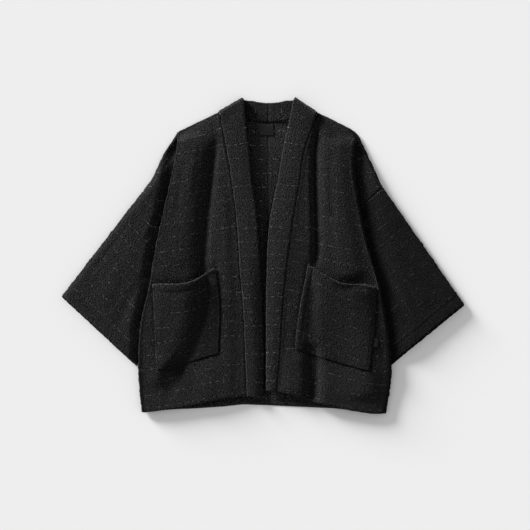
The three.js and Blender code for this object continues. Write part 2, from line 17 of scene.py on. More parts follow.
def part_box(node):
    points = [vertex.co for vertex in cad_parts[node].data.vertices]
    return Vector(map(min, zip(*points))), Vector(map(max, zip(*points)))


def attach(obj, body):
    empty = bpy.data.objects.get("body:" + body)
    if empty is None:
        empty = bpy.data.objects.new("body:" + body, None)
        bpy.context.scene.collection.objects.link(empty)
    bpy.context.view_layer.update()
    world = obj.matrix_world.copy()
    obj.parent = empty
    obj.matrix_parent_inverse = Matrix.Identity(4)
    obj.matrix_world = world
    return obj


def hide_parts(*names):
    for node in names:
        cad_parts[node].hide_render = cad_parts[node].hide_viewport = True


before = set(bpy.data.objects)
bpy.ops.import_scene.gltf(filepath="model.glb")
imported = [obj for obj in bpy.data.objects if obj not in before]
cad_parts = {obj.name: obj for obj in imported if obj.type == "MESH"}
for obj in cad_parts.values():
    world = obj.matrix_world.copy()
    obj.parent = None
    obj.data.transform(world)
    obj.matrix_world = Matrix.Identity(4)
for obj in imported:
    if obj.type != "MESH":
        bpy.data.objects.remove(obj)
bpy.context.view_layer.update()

bl_info = {
    "name": "Laid Kimono Jacket",
    "version": (1, 0, 0),
    "blender": (4, 5, 0),
    "location": "3D View > Sidebar > Jacket",
    "description": "Dresses a laid kimono jacket in boucle wool, with stitches and plain labels",
    "category": "Object",
}

MM = 0.001

# Cloth thicknesses and the gap kept at every seam
CLOTH = 2.4
BAND_CLOTH = 4.8
POCKET_CLOTH = 2.2
LABEL_CLOTH = 1.0
SEAM_GAP = 0.3

# How far the wool reaches over a seam, so that its crumb closes the gap
SEAM_CLOSE = 0.5

# Heights of the middle of the layers above the floor
BACK_MIDDLE = CLOTH / 2
SLEEVE_LOWER_HIGH = CLOTH + SEAM_GAP + CLOTH / 2
SLEEVE_UPPER_LOW = 7.4
SHOULDER_EDGE = CLOTH + 1.0
BAND_LOW = BAND_CLOTH / 2
FRONT_LOWEST = CLOTH + SEAM_GAP + CLOTH / 2
FRONT_SEAM_HEIGHT = 13.5
BAND_EDGE_HEIGHT = 15.5

# What changes on the way down: the depth, the height on the plan where it starts, and the
# length it takes. The free edge of a band and the front beside it sink towards the back, and
# the crown of the band grows.
BAND_SINKS = {"left": (9.0, 40, 190), "right": (3.5, 330, 60)}
FRONT_SINKS = {"left": (1.5, 0, 110), "right": (1.0, 0, 110)}
BAND_ROLLS = {"left": (2.0, 60, 140), "right": (0.4, 60, 140)}
BAND_CROWN = 1.5

# Where a front rises from its seam to its side fold, as shares of its width: start and length
FRONT_RISES = {"left": (0.3, 0.42), "right": (0.45, 0.55)}

# Down the left pocket the front steps from its high outer half to its sunken inner half
STEP_LINE = [(-117, -20), (-119, -78), (-127, -146), (-150, -215), (-190, -270), (-225, -320)]
STEP_IN = 2
STEP_OVER = 44

# The fold that lays each front over its sleeve
FOLD_RADIUS = 3.2
TUCK_RADIUS = 2.0
FOLD_TURN = math.radians(175)
FOLD_GROWS_OVER = 45
TUCK_END = 3.5

# The most that the fold rises over its rest, below the shoulder and further down
FOLD_DROPS = (11.1, 12.8)
FOLD_DROPS_FROM = 222
FOLD_DROPS_OVER = 80

# How far the cap and the front take to round down to the shoulder line
EDGE_ROUND = 15
FRONT_EDGE_ROUND = 54

# How many points of the shoulder line the cap follows, how soon its rows leave that line, and
# how fast they rise out of the fold
CAP_OUTLINE = {"left": 3, "right": 4}
CAP_FOLLOWS = 2.2
CAP_RISE = 1.5

# Centre back seam, from the middle of the span over both cuffs
CENTRE_X = 12.4

# Lines of each front from shoulder to hem, one point for each key row. Edge is the free
# edge of the band, seam joins band and front, inner to outer cross the pocket, and fold
# is where the front turns under.
LEFT_LINES = {
    "edge": [(-45, 356.5), (-33, 252), (-25, 172), (-14, 92), (-9, 22), (-7, -16), (-2, -115),
             (2.5, -216), (0, -325)],
    "seam": [(-99, 325), (-82, 245), (-70, 170), (-60, 90), (-55, 20), (-53, -18), (-44.5, -115),
             (-40, -215), (-36, -314)],
    "inner": [(-127, 311), (-104, 240), (-98, 164), (-98, 83), (-102, 11), (-106, -25),
              (-96.5, -112), (-100, -219), (-100, -323)],
    "middle": [(-155, 298), (-135, 233), (-140, 155), (-149, 73), (-158, -2), (-168, -61),
               (-167, -144), (-169, -239), (-168, -337)],
    "outer": [(-180, 286), (-184, 224), (-202, 141), (-220, 62), (-235, -12), (-246, -62),
              (-243, -153), (-238, -256), (-238, -348)],
    "fold": [(-187, 283), (-193, 222), (-211, 139), (-229, 60), (-243, -13), (-250, -61),
             (-271, -155), (-276, -261), (-269, -351)],
}
RIGHT_LINES = {
    "edge": [(71, 356.5), (47, 250), (33, 170), (17, 92), (10, 24), (9, -12), (7, -108),
             (7, -215), (7, -303)],
    "seam": [(123, 323), (93, 244), (81, 168), (67.5, 90), (58.5, 22), (53.5, -12), (43.5, -108),
             (37, -215), (29, -303)],
    "inner": [(150, 311), (118, 239), (112, 162), (106, 84), (102, 14), (100, -20), (82, -118),
              (72, -210), (72, -314)],
    "middle": [(174, 299), (150, 231), (152, 153), (156, 73), (162, 1), (166, -52), (164, -143),
               (156, -235), (150, -337)],
    "outer": [(199, 286), (192, 217), (200, 141), (215, 58), (234, -10), (252, -69), (250, -156),
              (239, -257), (236, -353)],
    "fold": [(206, 282), (201, 214), (209, 138), (224, 55), (242, -12), (258, -68), (276, -159),
             (285, -262), (273, -354)],
}
ACROSS_LINES = ("seam", "inner", "middle", "outer", "fold")
FOLD_LINE = len(ACROSS_LINES) - 1
KEY_ROWS = len(LEFT_LINES["seam"])
POCKET_ROWS = (5, 7)
POCKET_LINES = (1, 3)
BAND_FIRST_ROW = 0.36

# Steps of the meshes: across a front after each of its lines, round the side fold, back from
# it and over the cap, across the band, along each stretch of it behind the neck, round its
# crease, and in the two joins before and after the crease
ACROSS_STEPS = ((0, 14), (1, 26), (2, 30), (3, 9))
ARC_STEPS = 9
RETURN_STEPS = 7
CAP_STEPS = 22
BAND_STEPS = 22
BAND_BACK_STEPS = 7
CREASE_STEPS = 14
JOIN_STEPS = (12, 14)

# How much the first rows crowd towards the shoulder, and how soon a seam's overlap ends
ROW_CROWDING = 1.5
SEAM_CLOSE_FADE = 3

# How the side fold changes down the body, by the height on the plan of its edge
SIDE_FOLD = {
    "y": (283, 222, 139, -61, -84, -155, -262, -300, -354),
    "return": (0.5, 10, 25, 27, 25, 14, 9, 7, 6),
    "rest": (7.4, 7.4, 7.4, 7.4, 10.6, 10.6, 9.4, 5.5, 4.0),
    "tuck": (1, 1, 1, 1, 0, 0, 0, 0, 0),
}

# Sleeves: height of the upper layer over the floor, out from the side fold to the cuff
SLEEVE_CREST = {"left": 16.0, "right": 17.0}
SLEEVE_CREST_OUT = {"left": 31, "right": 60}
SLEEVE_CUFF_HEIGHT = 13.0
SLEEVE_START = 2
SLEEVE_EDGE_ROUND = 16
SLEEVE_UNDER_ROUND = 2
SLEEVE_EDGE_SHARE = 0.4
LOWER_RAMP = 22
CORNER_CLEAR = 24
SIDE_CLEAR = 16
LOWER_CUFF_SHOWS = 5
UNDERARM_Y = -75
HIDDEN_SEAM_GAP = 1.3
GAP_BLEND = 3

# Each side of the jacket: its lines, the drop shoulder seam, the cuff and the outline
SIDES = {
    "left": {
        "lines": LEFT_LINES,
        "outward": -1,
        "crest": SLEEVE_CREST["left"],
        "crest_out": SLEEVE_CREST_OUT["left"],
        "seam_top": (-271, 145),
        "seam_inner": (-219, 104),
        "cuff_tip": (-451, -88),
        "cuff_inner": (-283, -244),
        "shoulder": [(-99, 325), (-193, 280), (-220, 236), (-252, 170), (-271, 145)],
        "back_side": [(-219, 104), (-224, 60), (-238, -1), (-246, -58), (-259, -94), (-266, -130),
                      (-270, -193), (-272, -244), (-274, -282), (-270, -350)],
        "back_hem": [(-196, -345), (-148, -343), (-91, -339), (-44, -334), (CENTRE_X, -336)],
        "neck": [(CENTRE_X, 303), (-18, 305), (-63, 312.5), (-97.5, 317.5), (-100.3, 324.5)],
        "band_back_edge": [(CENTRE_X, 345.5), (-6, 347), (-26, 351), (-40, 352)],
        "band_back_seam": [(CENTRE_X, 303), (-12, 304.6), (-45, 310.4), (-78, 318.6)],
    },
    "right": {
        "lines": RIGHT_LINES,
        "outward": 1,
        "crest": SLEEVE_CREST["right"],
        "crest_out": SLEEVE_CREST_OUT["right"],
        "seam_top": (270, 154),
        "seam_inner": (216, 108),
        "cuff_tip": (451, -107),
        "cuff_inner": (286, -242),
        "shoulder": [(123, 323), (164, 304), (195, 288), (216, 271), (233, 233), (250, 196),
                     (270, 154)],
        "back_side": [(216, 108), (224, 40), (237, -7), (253, -55), (260, -88), (268, -130),
                      (276, -181), (281, -237), (278, -282), (272, -352)],
        "back_hem": [(255, -355), (217, -349), (160, -343), (CENTRE_X, -336)],
        "neck": [(CENTRE_X, 303), (59, 305), (90, 311), (121, 316), (124.3, 322.5)],
        "band_back_edge": [(CENTRE_X, 345.5), (32, 347), (52, 351), (66, 352)],
        "band_back_seam": [(CENTRE_X, 303), (40, 304.2), (70, 308.6), (102, 316.8)],
    },
}

# Soft folds of the fronts, as in the solids: depth, reach inward and outward, and the line
# from the shoulder down
FOLDS = {
    "left": [
        (-5.8, 10, 16, [(-106, 256), (-114, 208), (-122, 145), (-130, 82), (-135, 19),
                        (-138, -40)]),
        (2.5, 16, 20, [(-84, 150), (-80, 40), (-76, -80), (-74, -200), (-72, -320)]),
        (3.5, 34, 30, [(-118, -230), (-122, -290), (-124, -330)]),
    ],
    "right": [
        (-7, 9, 14, [(118, 320), (117, 250), (116, 180), (118, 100), (120, 20), (118, -20)]),
        (-5, 12, 20, [(104, -190), (108, -240), (110, -290), (106, -330)]),
        (-3.5, 12, 16, [(112, -40), (106, -110), (102, -180)]),
        (2.5, 26, 34, [(165, 220), (170, 120), (176, 20), (180, -60)]),
        (3, 26, 30, [(62, -220), (58, -270), (56, -310)]),
    ],
}
FOLD_END_FADE = 40

# How many times the width of a front goes into the strip at each side where folds fade out,
# and how many parts of its first stretch go into the strip where the seam's ridge fades in
FOLD_SIDE_FADE = 5
RIDGE_FADE = 4

# Smaller creases, listed one by one: depth, reach to the picture's right and to its left, and the
# line from the shoulder down
CREASES = {
    "front_left": [
        (-4.4, 10, 16, [(-108, 244), (-113, 208), (-118, 145), (-125, 82), (-129, 19),
                        (-130, -36), (-128, -70)]),
        (-1.2, 8, 10, [(-104, 326), (-106, 280), (-108, 230)]),
        (1.6, 16, 24, [(-156, 230), (-163, 170), (-170, 100), (-176, 40), (-180, -30)]),
        (-2.5, 8, 16, [(-118, -30), (-124, -78), (-132, -145), (-156, -215), (-196, -275)]),
        (-3.0, 12, 18, [(-170, -235), (-190, -270), (-206, -300), (-216, -330)]),
        (3.0, 14, 20, [(-204, -215), (-230, -255), (-246, -300)]),
        (2.0, 16, 20, [(-172, -70), (-180, -140), (-206, -210), (-236, -250)]),
        (1.0, 8, 9, [(-150, 262), (-158, 200), (-166, 140)]),
        (-0.9, 6, 8, [(-176, 220), (-186, 150), (-200, 70)]),
    ],
    "front_right": [
        (-2.4, 8, 8, [(118, 330), (117, 250), (116, 180), (118, 100), (119, 20), (117, -30)]),
        (6.0, 24, 40, [(170, 272), (172, 200), (178, 130), (188, 60), (200, -10), (208, -60)]),
        (6.0, 28, 40, [(216, -60), (226, -120), (234, -180), (236, -260), (232, -330)]),
        (1.2, 6, 8, [(104, 240), (104, 160), (106, 80), (108, 10)]),
        (-7.0, 12, 24, [(114, -190), (116, -230), (116, -280), (112, -340)]),
        (3.0, 24, 18, [(84, -210), (86, -260), (84, -320)]),
        (-1.6, 8, 16, [(124, -60), (118, -120), (120, -200)]),
        (-1.0, 8, 9, [(150, 230), (154, 150), (160, 70)]),
        (0.8, 9, 9, [(140, 250), (142, 170), (146, 90)]),
    ],
    "sleeve_left": [
        (-1.6, 12, 16, [(-262, -30), (-300, -100), (-330, -170)]),
        (1.4, 16, 16, [(-280, 30), (-330, -40), (-370, -120)]),
        (-1.2, 10, 12, [(-300, 80), (-350, 10), (-400, -50)]),
    ],
    "sleeve_right": [
        (-1.8, 12, 16, [(262, -30), (304, -100), (336, -170)]),
        (1.4, 16, 16, [(280, 30), (334, -40), (372, -120)]),
        (-1.2, 10, 12, [(300, 80), (356, 6), (404, -56)]),
    ],
}
CREASE_END_FADE = 26

# The front hem stands off the back hem between the band and the side
HEM_LIFT = {"left": 2.5, "right": 4.5}
HEM_LIFT_FROM = -230
HEM_LIFT_OVER = 90

# Pockets
POCKET_GAPE = 13
POCKET_CLEAR = 0.4
POCKET_SLANT = {"left": 0.0, "right": 0.2}
MOUTH_DIP = {"left": 2.4, "right": 1.0}
MOUTH_DIP_REACH = 9
MOUTH_ROLL = 2.2
MOUTH_ROLL_WIDTH = 5
MOUTH_RIDGE = 0.7
MOUTH_RIDGE_WIDTH = 2.5
POCKET_BORDER_SHARE = 0.6

# Seams: the groove that sewing presses in, the ridge beside the band, and rows of stitches,
# with how far each stitch is turned at random, how much of its length shows, how far a row
# stops short of its ends, and how far it is from the inner and outer edge of a pocket or from
# another edge
SEWN_GROOVE = 1.3
SEWN_WIDTH = 2.4
SEAM_RIDGE = 1.1
SEAM_RIDGE_IN = 4.5
STITCH_TURNS = (0.14, 0.14, 3.0)
STITCH_SHARE = 0.86
ROW_TRIMS = {"front": 4, "sleeve": 6, "collar": 3, "pocket": 3}
STITCH_IN = {"left": (4.5, 4.5), "right": (11.5, 4.5)}
STITCH_GROOVE = 0.9
STITCH_WIDTH = 1.6
STITCH_RIDGE = 0.5
STITCH_RIDGE_OUT = 3.4
STITCH_RIDGE_WIDTH = 1.8
CUFF_GROOVE_WIDTH = 1.8
CUFF_STITCH_IN = 22
HEM_STITCH_IN = 26
BAND_STITCH_IN = 3
EDGE_STITCH_IN = 3
NECK_STITCH_X = (-22, 58)
NECK_STITCH_BELOW = (1.5, 6.5)
NECK_STITCH_SAG = 2
BAND_SEAM_Y = 303
LABEL_STITCH_IN = 2
LABEL_STITCH_SHARE = 0.45

# The label and the tag
LABEL_CENTRE = (7.5, 285)
LABEL_SIZE = (34, 25)
LABEL_POINTS = (29, 21)
TAG_POINTS = (11, 13)
TAG_ROWS = (6.275, 6.475)
TAG_START = 0.03
TAG_WIDTH = 11
TAG_CLEAR = 0.5
LABEL_SWELL = 0.35
LABEL_RIPPLE = (0.12, 6)
LABEL_CRUMB = 0.05

# Edges of the wool: how far the crumb moves them, the width of its lumps there, how much
# higher the lumps are on upright faces, how thin a wall gets, how far the painted shade on the
# outline reaches, and in how many steps of the mesh the painted shade fades beside the side fold
RIM_CRUMB = 0.9
RIM_CRUMB_SIZE = 3.6
EDGE_FUZZ = 4.5
EDGE_TAPER = 0.45
PAINTED_SHADE_REACH = 3.5
PAINTED_SHADE_FADE = 2

# The smaller of the two lumps of the crumb: its width and its height, as shares of the larger
FINE_NUB = (0.55, 0.6)

# The back: its mesh and how irregular it is, its thinner rim, and its crumb
BACK_STEP = 4.5
BACK_JITTER = 0.3
BACK_CLEAR = 0.6
BACK_RIM = (0.55, 3)
BACK_CRUMB = (0.35, 5.5)

# How far after the seed that is set the random numbers of each kind of piece start
SEED_STARTS = {"back": 20, "front": 40, "sleeve": 60, "collar": 80, "pocket": 100}
LABEL_SEEDS = {"neck_label": 3, "pocket_tag": 4, "ripple": 5}

# How much of the wool's colours each finish has. These are painted light and shade: the right
# front, the right sleeve and the pockets are darker as if less lit, and the back and the right half
# of the band lighter as if more lit, than the one wool they all are
WOOL_PAINTED_LIGHT = {
    "boucle_front_left": 0.96,
    "boucle_front_right": 0.8,
    "boucle_back": 1.75,
    "boucle_sleeve_left": 1.0,
    "boucle_sleeve_right": 0.48,
    "boucle_collar_left": 0.98,
    "boucle_collar_right": 1.14,
    "boucle_pocket_left": 0.77,
    "boucle_pocket_right": 0.68,
}

# Painted shade on the rims of the side fold and the outline, where the low lamp lights them: how
# far they go dark, and how much of the deep colour they keep
PAINTED_SHADE_DARK = 0.75
PAINTED_SHADE_KEEP = 0.1

# How fine the noise of the finishes is, in lumps to the metre, and how far it shakes the loops
NOISE_SCALES = {
    "sway": 260.0, "fibres": 400.0, "patches": 45.0, "satin": 300.0, "twist": 1400.0, "paper": 60.0,
}
SWAY_REACH = 0.0026

# Heavier yarn: the pitch of the warp's lines as a share of the weft's, and how finely the
# dashes of each are cut across and down the cloth
WARP_PITCH_SHARE = 0.92
WEFT_DASHES = (110.0, 38.0)
WARP_DASHES = (38.0, 90.0)

# The satin's ribs, in metres: their pitch and their height
SATIN_RIB = 0.0008
SATIN_RELIEF = 0.0002

# Where the camera of the photograph stood over the plan, and what it took in
PHOTO_CENTRE = (4.6, -19.5, 12)
PHOTO_SPAN = 1192.5
CAMERA_LENS = 100
CAMERA_SENSOR = 36

# The stage in metres, and the light levels at which the view's curve is set
FLOOR_REACH = 6.0
FLOOR_CORNERS = ((-1, -1), (1, -1), (1, 1), (-1, 1))
LAMP_AWAY = 3
TOE_LIGHTS = (0.005, 0.01, 0.015, 0.02, 0.03, 0.04, 0.06, 0.1)

# How far this plan is from the frame's origin, in millimetres
LABEL_LOW, LABEL_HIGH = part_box("neck_label")
SHIFT = np.array([
    (LABEL_LOW[axis] + LABEL_HIGH[axis]) / 2 / MM - LABEL_CENTRE[axis] for axis in (0, 1)
] + [0.0])


# Numbers and points

def mix(a, b, t):
    return a + (b - a) * t


def clamp01(t):
    return np.clip(t, 0.0, 1.0)


def smooth(t):
    t = clamp01(t)
    return t * t * (3 - 2 * t)


def bell(distance, width):
    """1 at no distance, falling smoothly to nearly 0 at twice the width."""
    return np.exp(-((distance / width) ** 2))


def rounded(share):
    """Rise of a round edge, from 0 at its foot to 1 where it ends."""
    return np.sqrt(1 - (1 - clamp01(share)) ** 2)


def unit(vectors):
    """Vectors of length one, along the last axis."""
    length = np.linalg.norm(vectors, axis=-1, keepdims=True)
    return vectors / np.maximum(length, 1e-9)


def through(values, at):
    """Smooth curve through values that are one step apart along their last axis."""
    values = np.asarray(values, float)
    at = np.asarray(at, float)
    last = values.shape[-1] - 1
    index = np.clip(np.floor(at).astype(int), 0, last - 1)
    t = at - index
    p1 = values[..., index]
    p2 = values[..., index + 1]
    p0 = np.where(index > 0, values[..., np.maximum(index - 1, 0)], 2 * p1 - p2)
    p3 = np.where(index < last - 1, values[..., np.minimum(index + 2, last)], 2 * p2 - p1)
    bend = (2 * p0 - 5 * p1 + 4 * p2 - p3) * t ** 2 + (3 * p1 - p0 - 3 * p2 + p3) * t ** 3
    return p1 + 0.5 * ((p2 - p0) * t + bend)


def travelled(points):
    """Length along a line of points, from its start to each of them."""
    return np.concatenate([[0], np.cumsum(np.linalg.norm(np.diff(points, axis=0), axis=1))])


def running(steps):
    """Sums along each row of steps, from 0."""
    return np.concatenate([np.zeros((len(steps), 1)), np.cumsum(steps, axis=1)], axis=1)


def fold_column(name, y):
    """Value of one column of the side fold at heights y on the plan."""
    return np.interp(-np.asarray(y), -np.array(SIDE_FOLD["y"], float), SIDE_FOLD[name])


def line_x(line, y):
    """Where a line that runs down the plan stands at heights y."""
    heights = np.array([p[1] for p in line], float)
    return np.interp(-y, -heights, [p[0] for p in line])


def beside(line, x, y):
    """Distance from a line of points on the plan, the side, the place along it and its length."""
    best = np.full(np.shape(x), np.inf)
    side = np.ones(np.shape(x))
    along = np.zeros(np.shape(x))
    start = 0.0
    for (ax, ay), (bx, by) in zip(line, line[1:]):
        length = math.hypot(bx - ax, by - ay)
        t = clamp01(((x - ax) * (bx - ax) + (y - ay) * (by - ay)) / length ** 2)
        away = np.hypot(x - mix(ax, bx, t), y - mix(ay, by, t))
        nearer = away < best
        turn = np.sign((bx - ax) * (y - ay) - (by - ay) * (x - ax))
        side = np.where(nearer, turn, side)
        along = np.where(nearer, start + t * length, along)
        best = np.where(nearer, away, best)
        start += length
    return best, side, along, start


def crumb(points, size, seed):
    """Smooth random values from -1 to 1 in space, one lump to each size."""
    cells = 32
    lattice = np.random.default_rng(seed).uniform(-1, 1, (cells, cells, cells))
    scaled = np.asarray(points) / size
    cell = np.floor(scaled).astype(int)
    t = scaled - cell
    t = t * t * (3 - 2 * t)
    total = 0
    for dx in (0, 1):
        for dy in (0, 1):
            for dz in (0, 1):
                weight = 1
                for axis, step in enumerate((dx, dy, dz)):
                    weight = weight * (t[..., axis] if step else 1 - t[..., axis])
                total = total + weight * lattice[
                    (cell[..., 0] + dx) % cells,
                    (cell[..., 1] + dy) % cells,
                    (cell[..., 2] + dz) % cells,
                ]
    return total


def kept_over(z, low):
    """Heights that come to rest smoothly on a lowest height."""
    return low + np.log1p(np.exp(z - low))


def creased(name, x, y):
    """Sum of the listed creases of one piece at places on the plan."""
    total = np.zeros(np.shape(x))
    for depth, reach_right, reach_left, line in CREASES.get(name, ()):
        away, side, along, length = beside(line, x, y)
        reach = np.where(side > 0, reach_right, reach_left)
        fade = smooth(along / CREASE_END_FADE) * smooth((length - along) / CREASE_END_FADE)
        total += depth * fade * bell(away, reach)
    return total


# Sections of the jacket, in millimetres

def shoulder_rise(side, x, y, reach=EDGE_ROUND):
    """Rise of cloth from the shoulder line, 0 at the line and 1 where the rounding ends."""
    away = beside([*side["shoulder"], side["cuff_tip"]], x, y)[0]
    return rounded(away / reach)


def fold_depth(name, x, y):
    """Sum of the soft folds of one front at places on the plan."""
    outward = SIDES[name]["outward"]
    total = np.zeros(np.shape(x))
    for depth, inward_reach, outward_reach, line in FOLDS[name]:
        away = (x - line_x(line, y)) * outward
        reach = np.where(away > 0, outward_reach, inward_reach)
        fade = smooth((line[0][1] - y) / FOLD_END_FADE + 0.5)
        fade = fade * smooth((y - line[-1][1]) / FOLD_END_FADE + 0.5)
        total += depth * fade * bell(away, reach)
    return total


def sleeve_top(side, x, y):
    """Middle height of the upper layer of the sleeve and of the dropped shoulder."""
    past = (x - line_x(side["lines"]["fold"], y)) * side["outward"]
    rise = smooth((past - SLEEVE_START) / side["crest_out"])
    cuff = clamp01(np.abs(x) / abs(side["cuff_tip"][0]) - 0.5) * 2
    return mix(SLEEVE_UPPER_LOW, mix(side["crest"], SLEEVE_CUFF_HEIGHT, cuff), rise)


def sleeve_lower(side, x, y):
    """Middle height of the lower layer: on the floor, or over the back's side."""
    past = (x - line_x(side["back_side"], y)) * side["outward"] - SIDE_CLEAR
    corner_x, corner_y = side["back_side"][0]
    above = np.hypot(x - corner_x, y - corner_y) - CORNER_CLEAR
    drop = np.where(y > corner_y, above, past)
    return mix(SLEEVE_LOWER_HIGH, BACK_MIDDLE, smooth(drop / LOWER_RAMP))


def row_stations(step):
    """Rows of a front about one step apart, closer where it rounds to the shoulder."""
    seam = np.array(LEFT_LINES["seam"], float)
    rows = []
    for key in range(KEY_ROWS - 1):
        length = np.linalg.norm(seam[key + 1] - seam[key])
        count = max(2, round(length / step))
        t = np.arange(count) / count
        rows.append(key + (t ** ROW_CROWDING if key == 0 else t))
    return np.concatenate([*rows, [KEY_ROWS - 1.0]])


def across_stations():
    """Places across a row of a front."""
    places = [part + np.arange(count) / count for part, count in ACROSS_STEPS]
    return np.concatenate([*places, [float(FOLD_LINE)]])


def front_plan(side, rows, across):
    """Places on the plan of one front, as arrays over its rows and across them."""
    found = []
    for axis in (0, 1):
        lines = [through([p[axis] for p in side["lines"][name]], rows) for name in ACROSS_LINES]
        found.append(through(np.stack(lines, axis=-1), across))
    return found


def side_fold(fold_y):
    """The side fold of each row: its turn, its tuck and the height where it starts to turn."""
    turn = FOLD_TURN * smooth((SIDE_FOLD["y"][0] - fold_y) / FOLD_GROWS_OVER)
    tuck = turn * smooth(fold_column("tuck", fold_y))
    back = fold_column("return", fold_y)
    drop = FOLD_RADIUS * (1 - np.cos(turn)) + back * np.sin(turn)
    drop = drop + TUCK_RADIUS * (np.cos(turn - tuck) - np.cos(turn))
    drop = np.minimum(drop, mix(*FOLD_DROPS, smooth((FOLD_DROPS_FROM - fold_y) / FOLD_DROPS_OVER)))
    return turn, tuck, back, fold_column("rest", fold_y) + drop


def pocket_border(side):
    """The sewn border of a pocket and the line of its mouth, on the plan."""
    rows = np.linspace(*POCKET_ROWS, 25)
    ends = front_plan(side, rows, np.array(POCKET_LINES, float))
    level = np.linspace(*POCKET_LINES, 17)
    foot = front_plan(side, rows[-1:], level)
    mouth = front_plan(side, rows[:1], level)
    inner = list(zip(ends[0][:, 0], ends[1][:, 0]))
    outer = list(zip(ends[0][:, 1], ends[1][:, 1]))
    border = inner + list(zip(foot[0][0], foot[1][0]))[1:] + outer[-2::-1]
    return border, list(zip(mouth[0][0], mouth[1][0]))


def mouth_dip(name, x, y):
    """How far the front sinks behind the mouth of its pocket."""
    away = beside(pocket_border(SIDES[name])[1], x, y)[0]
    return MOUTH_DIP[name] * bell(away, MOUTH_DIP_REACH)


def sunk(values, y):
    """How far cloth has sunk or grown at heights y on the plan."""
    depth, start, over = values
    return depth * smooth((start - y) / over)


def front_height(name, across, x, y, fold_start):
    """Middle height of a front between the band seam and the side fold."""
    side = SIDES[name]
    share = across[None, :] / FOLD_LINE
    lift = HEM_LIFT[name] * smooth((HEM_LIFT_FROM - y) / HEM_LIFT_OVER) * np.sin(np.pi * share)
    start, over = FRONT_RISES[name]
    rise = smooth((share - start) / over)
    sink = sunk(FRONT_SINKS[name], y)
    if name == "left":
        away, turn, *_ = beside(STEP_LINE, x, y)
        stepped = smooth((STEP_IN - away * turn) / STEP_OVER)
        rise = mix(rise, stepped, sink / FRONT_SINKS[name][0])
    flat = mix(FRONT_SEAM_HEIGHT - sink, fold_start[:, None], rise) + lift
    folds = fold_depth(name, x, y) + creased("front_" + name, x, y)
    folded = flat + folds * smooth(share * FOLD_SIDE_FADE) * smooth((1 - share) * FOLD_SIDE_FADE)
    border = beside(pocket_border(side)[0], x, y)[0]
    folded = folded - mouth_dip(name, x, y) - SEWN_GROOVE * bell(border, SEWN_WIDTH)
    from_seam = beside(side["lines"]["seam"], x, y)[0]
    ridge = SEAM_RIDGE * bell(from_seam - SEAM_RIDGE_IN, SEWN_WIDTH)
    folded = kept_over(folded + ridge * smooth(across * RIDGE_FADE)[None, :], FRONT_LOWEST)
    return mix(SHOULDER_EDGE, folded, shoulder_rise(side, x, y, FRONT_EDGE_ROUND))


def along_line(line, share):
    """The point at a share of the length of a line."""
    lengths = travelled(line)
    return np.array([np.interp(share * lengths[-1], lengths, line[:, axis]) for axis in (0, 1)])


def front_surface(name, step):
    """Middle surface of one front: the body, the fold over the sleeve and the shoulder cap."""
    side = SIDES[name]
    outward = side["outward"]
    rows = row_stations(step)
    across = across_stations()
    x, y = front_plan(side, rows, across)
    turn, tuck, back, start = side_fold(y[:, -1])
    z = front_height(name, across, x, y, start)
    x = x - outward * SEAM_CLOSE * clamp01(1 - SEAM_CLOSE_FADE * across)
    body = np.stack([x, y, z], axis=-1)

    last = body[:, -1]
    inner_x, inner_y = front_plan(side, rows, np.array([FOLD_LINE - 1.0]))
    heading = np.zeros_like(last)
    heading[:, 0] = last[:, 0] - inner_x[:, 0]
    heading[:, 1] = last[:, 1] - inner_y[:, 0]
    heading = unit(heading)
    rise = shoulder_rise(side, last[:, 0], last[:, 1])

    steps = []
    for place in range(1, ARC_STEPS + 1):
        angle = turn * place / ARC_STEPS
        steps.append((FOLD_RADIUS * np.sin(angle), FOLD_RADIUS * (1 - np.cos(angle))))
    arc_out, arc_down = steps[-1]
    for place in range(1, RETURN_STEPS + 1):
        reach = back * place / RETURN_STEPS
        steps.append((arc_out + reach * np.cos(turn), arc_down + reach * np.sin(turn)))
    out, down = steps[-1]
    for place in range(1, ARC_STEPS + 1):
        angle = turn - tuck * place / ARC_STEPS
        steps.append((
            out + TUCK_RADIUS * (np.sin(turn) - np.sin(angle)),
            down + TUCK_RADIUS * (np.cos(angle) - np.cos(turn)),
        ))
    folded = []
    for out, down in steps:
        p = last + heading * out[:, None]
        p[:, 2] = last[:, 2] - down * rise
        folded.append(p)
    valley = folded[-1]

    top_y = side["lines"]["fold"][0][1]
    share = (top_y - y[:, -1]) / (top_y - side["seam_inner"][1])
    on_seam = share <= 1
    seam = mix(np.array(side["seam_top"], float), np.array(side["seam_inner"], float),
               np.clip(share, 0, None)[:, None])
    leave = turn - tuck
    top = np.array([valley[0, :2], *side["shoulder"][-CAP_OUTLINE[name]:]], float)
    bends = np.clip(1 - CAP_FOLLOWS * share, 0, 1)[:, None] ** 2
    cap = []
    for place in range(1, CAP_STEPS + 1):
        t = place / CAP_STEPS
        over = np.zeros_like(valley)
        bulge = along_line(top, t) - mix(valley[0, :2], seam[0], t)
        over[:, :2] = mix(valley[:, :2], seam, t) + bulge * bends
        height = sleeve_top(side, over[:, 0], over[:, 1])
        height = height + creased("sleeve_" + name, over[:, 0], over[:, 1])
        height = mix(SHOULDER_EDGE, height, shoulder_rise(side, over[:, 0], over[:, 1]))
        over[:, 2] = mix(valley[:, 2], height, smooth(t * CAP_RISE))
        reach = TUCK_END * t
        under = valley + heading * (reach * np.cos(leave))[:, None]
        under[:, 2] = valley[:, 2] - reach * np.sin(leave)
        cap.append(np.where(on_seam[:, None], over, under))
    grid = np.concatenate([body, np.stack(folded, axis=1), np.stack(cap, axis=1)], axis=1)
    return {"grid": grid, "rows": rows, "across": across, "fold_y": y[:, -1], "on_seam": on_seam}


